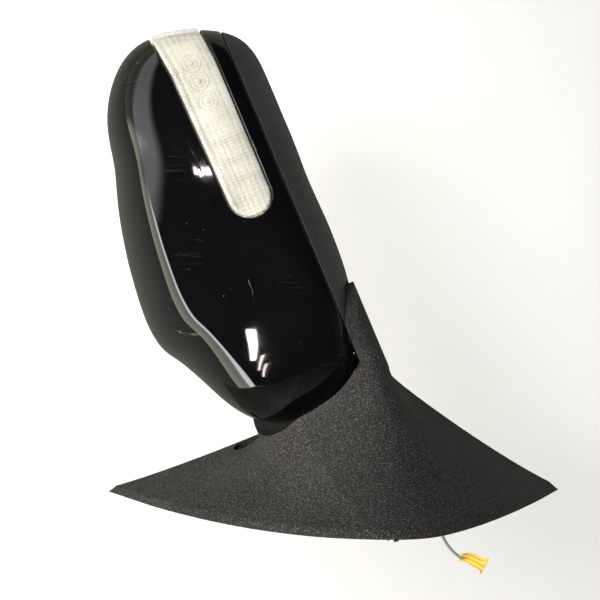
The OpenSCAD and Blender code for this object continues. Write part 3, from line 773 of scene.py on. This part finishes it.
def opening_radius(inset, inner_x, blend=9.0):
    """The rim less an inset, blended with a straight side at inner_x."""
    inset_rim = rim_radius(RING_ANGLES) - inset
    to_side = np.where(RING_COS < -0.02,
                       (inner_x - RIM_CENTRE[0]) / np.minimum(RING_COS, -0.02), 1e4)
    to_side = np.minimum(to_side, 400.0)
    return -blend * np.log(np.exp(-inset_rim / blend) + np.exp(-to_side / blend))


def rear_ring(radius, depth):
    """Ring about the rim's centre; depth is y, as a number or a function of x."""
    x = RIM_CENTRE[0] + radius * RING_COS
    z = RIM_CENTRE[1] + radius * RING_SIN
    y = depth(x) if callable(depth) else np.full_like(x, depth)
    return np.stack([x, y, z], -1)


def build_bezel_ring():
    outer = rim_radius(RING_ANGLES)
    inner = opening_radius(BEZEL_WIDTH, BEZEL_INNER_X)

    def rear(x):
        return rear_edge(x) + bezel_depth(x)

    rings = [
        rear_ring(outer - 2.2, lambda x: rear_edge(x) + BEZEL_GAP),
        rear_ring(outer + 0.1, lambda x: rear_edge(x) + BEZEL_GAP),
        rear_ring(outer + BEZEL_PROUD, lambda x: rear_edge(x) + BEZEL_GAP + 0.5)]
    for turn in np.radians([0, 22.5, 45, 67.5, 90]):
        drop = BEZEL_CORNER * (1 - math.sin(turn))
        rings.append(rear_ring(
            outer + BEZEL_PROUD - BEZEL_CORNER * (1 - math.cos(turn)),
            lambda x: rear_edge(x) + np.maximum(bezel_depth(x) - drop, 1.3)))
    for u in np.linspace(0, 1, 22)[1:-1]:
        rings.append(rear_ring((outer + BEZEL_PROUD - BEZEL_CORNER) * (1 - u)
                               + (inner + LIP_RADIUS) * u, rear))
    for u in (0.0, 0.34, 0.67, 1.0):
        turn = math.radians(90 * u)
        rings.append(rear_ring(inner + LIP_RADIUS * (1 - math.sin(turn)),
                               lambda x: rear(x) - LIP_RADIUS * (1 - math.cos(turn))))
    # wall of the opening, down to a flange behind the glass
    rings.append(rear_ring(inner, lambda x: np.minimum(rear(x) - 3, 42.0)))
    rings.append(rear_ring(inner, lambda x: np.minimum(rear(x) - 4, 37.0)))
    rings.append(rear_ring(np.minimum(inner + 2.0, outer - 2.4),
                           lambda x: np.minimum(rear(x) - 4, 36.0)))

    faces = grid_faces(RING_COUNT, len(rings))
    last = (len(rings) - 1) * RING_COUNT
    for i in range(RING_COUNT):
        j = (i + 1) % RING_COUNT
        faces.append((last + i, last + j, j, i))
    bezel = mesh_object("bezel_skin", np.concatenate(rings), faces)
    recalculate_normals(bezel)
    return bezel


def finish_bezel(bezel):
    """Cuts the same room for the folding arm as in the housing, and the inboard end."""
    sweep = wedge(ARM_FROM, ARM_TO, -80, 95)
    combine(sweep, seat(-SEAT_GAP))
    combine(bezel, sweep)
    combine(bezel, box(-120, 16, -60, 120, -120, 200))
    finish_mesh(bezel, sharp_angle=40)
    install(bezel, "rear_bezel", "satin_black")


def build_glass():
    """Slightly domed pane with a rounded rear edge."""
    outline = opening_radius(GLASS_INSET, GLASS_INNER_X)
    rings = []
    for t in np.linspace(0, 1, 22)[1:]:
        radius = outline * t if t < 1 else outline - GLASS_ROUND
        rings.append(rear_ring(radius, GLASS_CROWN - GLASS_DOME * t * t))
    for u in (0.33, 0.67, 1.0):
        turn = math.radians(90 * u)
        rings.append(rear_ring(outline - GLASS_ROUND + GLASS_ROUND * math.sin(turn),
                               GLASS_CROWN - GLASS_DOME - GLASS_ROUND * (1 - math.cos(turn))))
    rings.append(rear_ring(outline, GLASS_BACK))
    rings.append(rear_ring(outline - 3, GLASS_BACK))
    middles = np.array([[RIM_CENTRE[0], y, RIM_CENTRE[1]] for y in (GLASS_CROWN, GLASS_BACK)])

    faces = grid_faces(RING_COUNT, len(rings))
    end = len(rings) * RING_COUNT
    last = end - RING_COUNT
    faces += [(end, (i + 1) % RING_COUNT, i) for i in range(RING_COUNT)]
    faces += [(end + 1, last + i, last + (i + 1) % RING_COUNT) for i in range(RING_COUNT)]
    glass = mesh_object("glass_pane", np.concatenate(rings + [middles]), faces)
    recalculate_normals(glass)
    finish_mesh(glass, sharp_angle=30)
    install(glass, "mirror_glass", "mirror")


# ------------------------------------------------------------------ repeater
REFLECTOR_DEPTH = 3.9
LAMP_DEPTH = 3.6
LAMP_PLACES = (141.5, 152.8, 163.8)     # x on the strip
# Lamp optic turned about its axis: radius, height. A dome, two raised rings and a back.
LAMP_PROFILE = [
    (0.01, 1.7), (0.7, 1.62), (1.3, 1.3), (1.75, 0.7), (1.9, -0.2), (2.7, -0.3),
    (2.9, 0.55), (3.15, 0.8), (3.4, 0.55), (3.6, -0.3), (4.5, -0.35), (4.7, 0.5),
    (4.95, 0.75), (5.2, 0.5), (5.4, -0.6), (5.3, -1.4), (0.01, -1.4)]


def strip_point(surface, along, across, depth=0.0, grow=0.0):
    """Point and outward normal on the repeater strip, `depth` under the housing surface.

    along is 0 at the inboard tip and 1 at the outboard end; across is -1 to 1.
    """
    run = along * STRIP_LENGTH
    if run < STRIP_FRONT:
        x = STRIP_START + run
        start, end = SLOT_INNER, SLOT_MIDDLE
        share = (x - start[0]) / (end[0] - start[0])
        origin = (x, 0)
        ray = Vector((0, -1, 0))
    else:
        turn = math.radians(-90 + TURN_DEGREES * (run - STRIP_FRONT) / STRIP_TURN)
        x = TURN_CENTRE[0] + TURN_RADIUS * math.cos(turn)
        start, end = SLOT_MIDDLE, SLOT_OUTER
        share = max(0.0, (x - start[0]) / (end[0] - start[0]))
        origin = TURN_CENTRE
        ray = Vector((math.cos(turn), math.sin(turn), 0))
    middle_z = start[1] + share * (end[1] - start[1])
    half_width = start[2] + max(0, min(1, share)) * (end[2] - start[2])
    origin = Vector((*origin, middle_z + across * (half_width + grow)))
    hit, normal, _, _ = surface.ray_cast(origin, ray, 200)
    if hit is None:
        hit = origin + ray * 40
        normal = ray
    if normal.dot(ray) < 0:
        normal = -normal
    return np.array(hit - normal * depth), np.array(normal)


def build_lens():
    """Clear lens, 1 mm proud of the housing and cut on the same rule as the slot."""
    sheet = housing_sheet(across=420, inset=-1.0)
    sheet.cut(lambda points: 4.0 - outside_slot(points))
    sheet.roll_edge(lambda points: -outside_slot(points), radius=1.0)
    install(sheet_shell("lens_skin", sheet, LENS_WALL), "signal_lens", "clear_lens")


def build_reflector(surface, along_count=460, across_count=46):
    """Ribbed strip behind the lens, with a calm patch along the lamps."""
    tip_length = 12           # rounded inboard end
    half_width = 12           # nominal, for the flutes and the UV map
    points, strip_uv = [], []
    for i in range(along_count):
        along = i / (along_count - 1)
        run = along * STRIP_LENGTH
        depth = REFLECTOR_DEPTH
        if run >= 96:
            depth = max(1.9, REFLECTOR_DEPTH - (run - 96) * 0.08)
        for across in np.linspace(-1, 1, across_count):
            if run < tip_length:
                across *= math.sqrt(max(0.0, 1 - ((tip_length - run) / 12.6) ** 2))
            width = across * half_width
            rib = (0.42 * abs(math.sin(math.pi * run / 2.1))
                   + 0.30 * abs(math.sin(math.pi * width / 3.2)))
            if 50 < run < 102 and abs(across) < 0.62:
                rib *= 0.15
            points.append(strip_point(surface, along, across, depth + rib, grow=0.6)[0])
            strip_uv.append((run, width))
    reflector = mesh_object("reflector_skin", np.array(points),
                            grid_faces(across_count, along_count, closed=False))
    mesh = reflector.data
    layer = mesh.uv_layers.new(name="strip")
    corners = np.zeros(len(mesh.loops), int)
    mesh.loops.foreach_get("vertex_index", corners)
    layer.data.foreach_set("uv", np.array(strip_uv)[corners].ravel())
    thicken(reflector, 0.9)
    apply_modifiers(reflector)
    finish_mesh(reflector, sharp_angle=50)
    install(reflector, "signal_backing", "silver_reflector", material="ribbed_reflector")


def lathe(profile, count=40):
    """Profile of (radius, height) turned about z."""
    rows = len(profile)
    points, faces = [], []
    for i in range(count):
        turn = 2 * math.pi * i / count
        points += [(r * math.cos(turn), r * math.sin(turn), h) for r, h in profile]
        a, b = i * rows, (i + 1) % count * rows
        faces += [(a + k, b + k, b + k + 1, a + k + 1) for k in range(rows - 1)]
    return points, faces


def build_lamps(surface):
    turned, turned_faces = lathe(LAMP_PROFILE)
    points, faces = [], []
    for place in LAMP_PLACES:
        along = min(np.linspace(0.2, 0.95, 400),
                    key=lambda u: abs(strip_point(surface, u, 0)[0][0] - place))
        centre, normal = strip_point(surface, along, 0.0, LAMP_DEPTH)
        facing = Vector(normal).to_track_quat("Z", "Y").to_matrix()
        base = len(points)
        points += [np.array(facing @ Vector(v)) + centre for v in turned]
        faces += [tuple(i + base for i in face) for face in turned_faces]
    lamps = mesh_object("lamp_optics", np.array(points), faces)
    finish_mesh(lamps, sharp_angle=60)
    install(lamps, "signal_leds", "clear_led")


# ------------------------------------------------------------------ foot
FOOT_SHIFT = (12.0, 30.0)     # y, z of the foot outline's origin in the world
# The foot's front side, against t from its upper tip (0) to its lower tip (1).
# Base outline on x = 0: t, y, z
FOOT_BASE = [
    (0, 39, 113), (0.06, 16, 97), (0.14, -15, 75), (0.3, -58, 35), (0.45, -84, -4),
    (0.58, -92, -39), (0.68, -89, -60), (0.76, -76, -76), (0.86, -44, -101),
    (0.94, 2, -130), (1, 46, -154)]
# Neck outline in the housing frame: t, y, z
FOOT_NECK = [
    (0, 30, 62), (0.1, 26, 67), (0.25, 12, 68), (0.4, -4, 63), (0.5, -15, 52),
    (0.58, -21, 41), (0.7, -25.5, 14), (0.8, -25.5, -7), (0.88, -14, -13.5),
    (0.94, 4, -14), (1, 26, -12)]
# How quickly the base draws in towards the neck: t, exponent
FOOT_FLARE = [(0, 1.02), (0.15, 1.04), (0.35, 1.15), (0.6, 1.3), (0.85, 1.38),
              (0.95, 1.3), (1, 1.06)]
FOOT_FRONT, FOOT_REAR = 240, 60       # steps along the front and the rear side
RIDGE_PLACE, RIDGE_REACH, RIDGE_HEIGHT = 0.575, 0.20, 7.0
NECK_END_X = 30

# t runs 0 to 1 down the front and 1 to 2 back up the rear
foot_t = np.concatenate([np.linspace(0, 1, FOOT_FRONT + 1),
                         1 + np.linspace(0, 1, FOOT_REAR + 1)[1:-1]])
on_front = foot_t <= 1
front_t = np.where(on_front, foot_t, 0)
rear_t = np.where(on_front, 0, foot_t - 1)


def foot_row(table, column, rear_start, rear_change):
    """One column of a foot table down the front, then a straight change up the rear."""
    front = curve([(row[0], row[column]) for row in table])(front_t)
    return np.where(on_front, front, rear_start + rear_change * rear_t)


FOOT_TIPS = (0, FOOT_FRONT)
base_y = smooth_ring(foot_row(FOOT_BASE, 1, 46, -7), rounds=40, fixed=FOOT_TIPS)
base_z = smooth_ring(foot_row(FOOT_BASE, 2, -154, 267), rounds=40, fixed=FOOT_TIPS)
neck_y = smooth_ring(foot_row(FOOT_NECK, 1, 26, 4), rounds=25)
neck_z = smooth_ring(foot_row(FOOT_NECK, 2, -12, 74), rounds=25)
flare = foot_row(FOOT_FLARE, 1, 1.04, 0)


def ridge(rise):
    """Height of the front ridge at `rise` of the way from base to neck."""
    tent = np.clip(1 - np.abs(foot_t - RIDGE_PLACE) / RIDGE_REACH, 0, 1) ** 1.25
    tent = np.where(on_front, tent, 0)
    return RIDGE_HEIGHT * tent * (rise ** 0.5) * (1 - 0.45 * rise)


def foot_rings(inset, start_x, rises, neck_steps):
    """World rings from the base to the neck and on along the housing's x."""
    # the inset is measured towards a middle point, and is larger near the two tips
    dy, dz = base_y - 20, base_z + 22
    length = np.hypot(dy, dz)
    near_tip = np.minimum(np.abs(foot_t), np.minimum(np.abs(foot_t - 1), np.abs(foot_t - 2)))
    base_inset = inset * (1 + 1.6 * np.exp(-near_tip / 0.05))
    y0 = base_y - dy / length * base_inset + FOOT_SHIFT[0]
    z0 = base_z - dz / length * base_inset + FOOT_SHIFT[1]

    dz = neck_z - 20
    length = np.hypot(neck_y, dz)
    y1 = neck_y - neck_y / length * inset
    z1 = neck_z - dz / length * inset
    neck = to_world(np.stack([-26 - 0.14 * z1, y1, z1], -1))

    foot_edge = 2.5           # upright edge before the skin draws in
    rings = [np.stack([np.full_like(y0, start_x), y0, z0], -1)]
    for rise in rises:
        draw = 1 - (1 - rise) ** flare
        x = foot_edge * min(1, rise * 20) + (neck[:, 0] - foot_edge) * rise ** 1.12
        rings.append(np.stack([x, y0 + (neck[:, 1] - y0) * draw - ridge(rise),
                               z0 + (neck[:, 2] - z0) * draw], -1))
    last = to_housing(rings[-1])
    for step in neck_steps:
        ring = last.copy()
        ring[:, 0] += (NECK_END_X - inset - last[:, 0]) * np.clip((step + 40) / 70.0, 0, 1)
        ring[:, 1] += ridge(1.0) * np.clip((step + 40) / 40.0, 0, 1)
        rings.append(to_world(ring))
    return rings


def build_foot():
    rises = np.concatenate([[0.012, 0.03, 0.05], np.linspace(0.05, 1, 70)[1:]])
    foot = ring_solid("foot_skin", foot_rings(
        inset=0.0, start_x=0.0, rises=rises, neck_steps=np.linspace(-38, NECK_END_X, 34)))
    hollow = ring_solid("foot_inner", foot_rings(
        inset=WALL, start_x=-1.0, rises=np.linspace(0.05, 1, 24),
        neck_steps=np.linspace(-38, NECK_END_X, 10)))
    combine(hollow, housing_room(WALL))
    combine(foot, hollow)
    combine(foot, housing_room(0.0))
    combine(foot, prism(circle(16.2), -8, 12))     # hole on the fold axis
    finish_mesh(foot, sharp_angle=32)
    install(foot, "base_cover", "textured_black")


# ------------------------------------------------------------------ loose wire and tape flag
WIRE_RADIUS = 0.85
# world x, y, z along the wire
WIRE_PATH = [
    (8, 14, -40), (0, 13.2, -42), (-6, 12, -44), (-12, 11.3, -46.2), (-17, 11, -48.5),
    (-21, 11.2, -50.6), (-25, 11.5, -53.5), (-28, 11.8, -56.5), (-30.5, 12, -60)]


def smooth_path(path, steps):
    path = np.array(path, float)
    last = len(path) - 1
    points = []
    for i in range(last):
        p0, p1, p2, p3 = path[max(i - 1, 0)], path[i], path[i + 1], path[min(i + 2, last)]
        for k in range(steps):
            t = k / steps
            points.append(0.5 * ((2 * p1) + (-p0 + p2) * t
                                 + (2 * p0 - 5 * p1 + 4 * p2 - p3) * t * t
                                 + (-p0 + 3 * p1 - 3 * p2 + p3) * t ** 3))
    points.append(path[-1])
    return np.array(points)


def build_wire():
    centres = smooth_path(WIRE_PATH, steps=6)
    section = [Vector((*xy, 0)) for xy in circle(WIRE_RADIUS, 12)]
    rings = []
    for i, centre in enumerate(centres):
        ahead = Vector(centres[min(i + 1, len(centres) - 1)] - centres[max(i - 1, 0)])
        facing = ahead.normalized().to_track_quat("Z", "Y").to_matrix()
        rings.append(np.array([np.array(facing @ v) + centre for v in section]))
    wire = ring_solid("loose_wire", rings)
    finish_mesh(wire, sharp_angle=50)
    install(wire, "wire_loom", "wire_grey")


def build_tape(along_count=26, across_count=16):
    """Folded cloth tape: a thin crumpled leaf at the wire's end, widening downwards."""
    points = []
    for i in range(along_count):
        u = i / (along_count - 1)
        half_width = 0.9 * (2.6 + 1.5 * u + (8.0 * (u - 0.8) if u > 0.8 else 0))
        middle_x = -29.5 - 4.6 * u + 1.0 * math.sin(4 * u)
        middle_z = -58.5 - 14.0 * u
        for j in range(across_count):
            v = j / (across_count - 1) * 2 - 1
            points.append((
                middle_x - 0.93 * v * half_width,
                12 + 0.8 * math.sin(5.2 * u + 1.1 * v) + 0.5 * math.sin(9 * v + 3 * u),
                middle_z + 0.37 * v * half_width + 0.5 * math.sin(14 * u) * v))
    tape = mesh_object("tape_flag", np.array(points),
                       grid_faces(across_count, along_count, closed=False),
                       in_housing=False)
    thicken(tape, 0.45, offset=0)
    subdivide = tape.modifiers.new("smooth", "SUBSURF")
    subdivide.levels = subdivide.render_levels = 1
    apply_modifiers(tape)
    finish_mesh(tape, sharp_angle=60)
    install(tape, "wire_terminal", "yellow_tape")


# ------------------------------------------------------------------ stage, metres
def backdrop_material():
    """Pale sheet: clear from behind and to shadows, and darker in reflections."""
    material, tree = new_material("pale_floor")
    pale = add_node(tree, "BsdfPrincipled", {
        "Base Color": ramp(tree, noise(tree, coords(tree), scale=2.5, detail=4.0),
                           [(0.3, (0.385, 0.38, 0.372)), (0.7, (0.415, 0.412, 0.405))]),
        "Roughness": 0.6,
        "Specular IOR Level": 0.2,
        "Emission Color": (1.0, 0.99, 0.98, 1),
        "Emission Strength": 0.16})
    reflected = add_node(tree, "Emission", {"Color": (0.135, 0.135, 0.115, 1)})
    clear = add_node(tree, "BsdfTransparent")
    path = add_node(tree, "LightPath").outputs
    backfacing = add_node(tree, "NewGeometry").outputs["Backfacing"]
    seen = mix_shader(tree, path["Is Glossy Ray"], pale, reflected)
    see_through = calc(tree, "MAXIMUM", backfacing, path["Is Shadow Ray"])
    set_surface(tree, mix_shader(tree, see_through, seen, clear))
    return material


def build_backdrop(half_size=2.2, cells_per_side=12, middle_x=0.1, y=0.34):
    """Upright sheet on the +Y side of the mirror, facing -Y."""
    places = [half_size * (i / cells_per_side - 0.5) * 2 for i in range(cells_per_side + 1)]
    row = len(places)
    points = [(middle_x + x, y, z) for x in places for z in places]
    faces = [(i * row + j, (i + 1) * row + j, (i + 1) * row + j + 1, i * row + j + 1)
             for i in range(cells_per_side) for j in range(cells_per_side)]
    mesh = bpy.data.meshes.new("pale_floor")
    mesh.from_pydata(points, [], faces)
    mesh.update()
    sheet = bpy.data.objects.new("pale_floor", mesh)
    bpy.context.collection.objects.link(sheet)
    mesh.materials.append(backdrop_material())


# Room seen in reflections, by turn about X: 0 and 1 at +Y, 0.25 at -Z, 0.5 at -Y, 0.75 at +Z
ROOM_BANDS = [
    (0.0, 0.017), (0.16, 0.010), (0.30, 0.0024), (0.50, 0.0007), (0.549, 0.001),
    (0.566, 0.60), (0.625, 0.65), (0.650, 0.16), (0.70, (0.13, 0.13, 0.105)),
    (0.79, (0.19, 0.19, 0.135)), (0.86, 0.014), (1.0, 0.010)]
# Fade of that room from rays along -X (0) to rays along +X (1)
ROOM_FADE = [(0.0, 1.0), (0.495, 1.0), (0.54, 0.22), (0.70, 0.15), (1.0, 0.15)]


def build_world():
    """Separate backgrounds for reflections, for other light and for the camera."""
    world = bpy.data.worlds.new("studio")
    bpy.context.scene.world = world
    world.use_nodes = True
    tree = world.node_tree
    tree.nodes.clear()
    direction = add_node(tree, "TexCoord").outputs["Generated"]
    x, y, z = add_node(tree, "SeparateXYZ", {0: direction}).outputs
    angle = calc(tree, "ARCTAN2", z, calc(tree, "MULTIPLY", y, -1.0))
    turn = calc(tree, "MULTIPLY_ADD", angle, 1 / (2 * math.pi), 0.5)
    outboard = calc(tree, "MULTIPLY_ADD", x, 0.5, 0.5)
    bands = ramp(tree, turn, ROOM_BANDS)
    fade = ramp(tree, outboard, ROOM_FADE)
    room = add_node(tree, "VectorMath", {0: bands, 1: fade}, operation="MULTIPLY")
    reflected = add_node(tree, "Background", {"Color": room, "Strength": 10.0})
    ambient = add_node(tree, "Background", {
        "Color": (1.0, 0.995, 0.985, 1), "Strength": 0.32})
    backdrop = add_node(tree, "Background", {
        "Color": (0.96, 0.955, 0.945, 1), "Strength": 0.97})
    path = add_node(tree, "LightPath").outputs
    lit = mix_shader(tree, path["Is Glossy Ray"], ambient, reflected)
    shown = mix_shader(tree, path["Is Camera Ray"], lit, backdrop)
    add_node(tree, "OutputWorld", {"Surface": shown})


AIM = Vector((0.115, -0.02, 0.03))
CAMERA_PLACE = (0.113, -0.598, 0.030)


def area_light(name, place, target, size, power, color=(1, 1, 1), glossy=True):
    data = bpy.data.lights.new(name, "AREA")
    data.energy = power
    data.color = color
    data.shape = "RECTANGLE"
    data.size, data.size_y = size
    light = bpy.data.objects.new(name, data)
    bpy.context.collection.objects.link(light)
    light.location = place
    light.rotation_mode = "QUATERNION"
    aim = Vector(target) - Vector(place)
    light.rotation_quaternion = aim.to_track_quat("-Z", "Y")
    light.visible_glossy = glossy


def build_soft_lights():
    """Lights that don't show in reflections."""
    area_light("key_left", place=(0.08, -0.52, 1.10), target=AIM, size=(0.30, 0.30),
               power=35, color=(1.0, 0.995, 0.90), glossy=False)
    area_light("key_front", place=(0.26, -1.0, 0.46), target=AIM, size=(0.34, 0.34),
               power=13, glossy=False)
    area_light("fill_right", place=(0.0, -0.75, -0.85), target=AIM, size=(0.8, 0.8),
               power=6.0, glossy=False)
    area_light("rear_fill", place=(0.3, 0.9, 0.9), target=AIM, size=(0.8, 0.8),
               power=7.0, glossy=False)
    area_light("floor_wash", place=(0.55, 0.05, 0.55), target=(0.1, 0.34, 0.0),
               size=(0.7, 0.7), power=5.0, glossy=False)


WINDOW_DISTANCE = 0.9
# Windows mirrored in the paint: name, slopes of the camera's sight line to the highlight
# (x and z per unit of y), size, power, colour
WINDOWS = [
    ("window_a", (-0.04727273, 0.04181818), (0.13, 0.040), 0.40, (1.0, 0.93, 0.86)),
    ("window_b", (-0.05818182, 0.03636364), (0.15, 0.014), 0.10, (1.0, 0.88, 0.80)),
    ("window_c", (-0.06363636, 0.03272727), (0.15, 0.014), 0.09, (1.0, 0.86, 0.78)),
    ("window_d", (0.11636364, 0.08545455), (0.018, 0.07), 0.10, (1.0, 0.93, 0.97))]


def mirrored_ray(surface, slope_x, slope_z):
    """Where a sight line meets the housing, and the direction it is mirrored to."""
    housing_axes = Matrix(((COS_LEAN, 0, -SIN_LEAN), (0, 1, 0), (SIN_LEAN, 0, COS_LEAN)))
    origin = Vector(FOLD_ORIGIN)
    to_local = housing_axes.transposed()
    start = to_local @ (Vector(CAMERA_PLACE) / MM - origin)
    sight = to_local @ Vector((slope_x, 1.0, slope_z)).normalized()
    hit, normal, _, _ = surface.ray_cast(start, sight, 2000)
    if hit is None:
        return AIM, Vector((0, -1, 0))
    mirrored = sight - 2 * sight.dot(normal) * normal
    return (origin + housing_axes @ hit) * MM, (housing_axes @ mirrored).normalized()


def build_windows(surface):
    for name, slopes, size, power, color in WINDOWS:
        highlight, ray = mirrored_ray(surface, *slopes)
        area_light(name, place=highlight + ray * WINDOW_DISTANCE, target=highlight,
                   size=size, power=power, color=color)


def build_camera():
    """Camera looking along +Y, with +X up in its view and +Z to its left."""
    data = bpy.data.cameras.new("photo_camera")
    camera = bpy.data.objects.new("photo_camera", data)
    bpy.context.collection.objects.link(camera)
    data.sensor_width = 36.0
    data.lens = 66.0
    data.clip_start = 0.01
    data.clip_end = 20
    x, y, z = CAMERA_PLACE
    camera.matrix_world = Matrix(((0, 1, 0, x), (0, 0, -1, y), (-1, 0, 0, z), (0, 0, 0, 1)))
    scene = bpy.context.scene
    scene.camera = camera
    scene.view_settings.view_transform = "Standard"
    scene.view_settings.look = "None"


# ------------------------------------------------------------------ build
paint_frame_nodes()
housing = housing_sheet()
surface = BVHTree.FromPolygons([tuple(v) for v in housing.points], housing.faces)
build_cover(housing)
build_lower_casing(housing)
bezel = build_bezel_ring()
build_glass()
build_lens()
build_reflector(surface)
build_lamps(surface)
finish_bezel(bezel)
build_foot()
build_wire()
build_tape()

build_backdrop()
build_world()
build_soft_lights()
build_windows(surface)
build_camera()
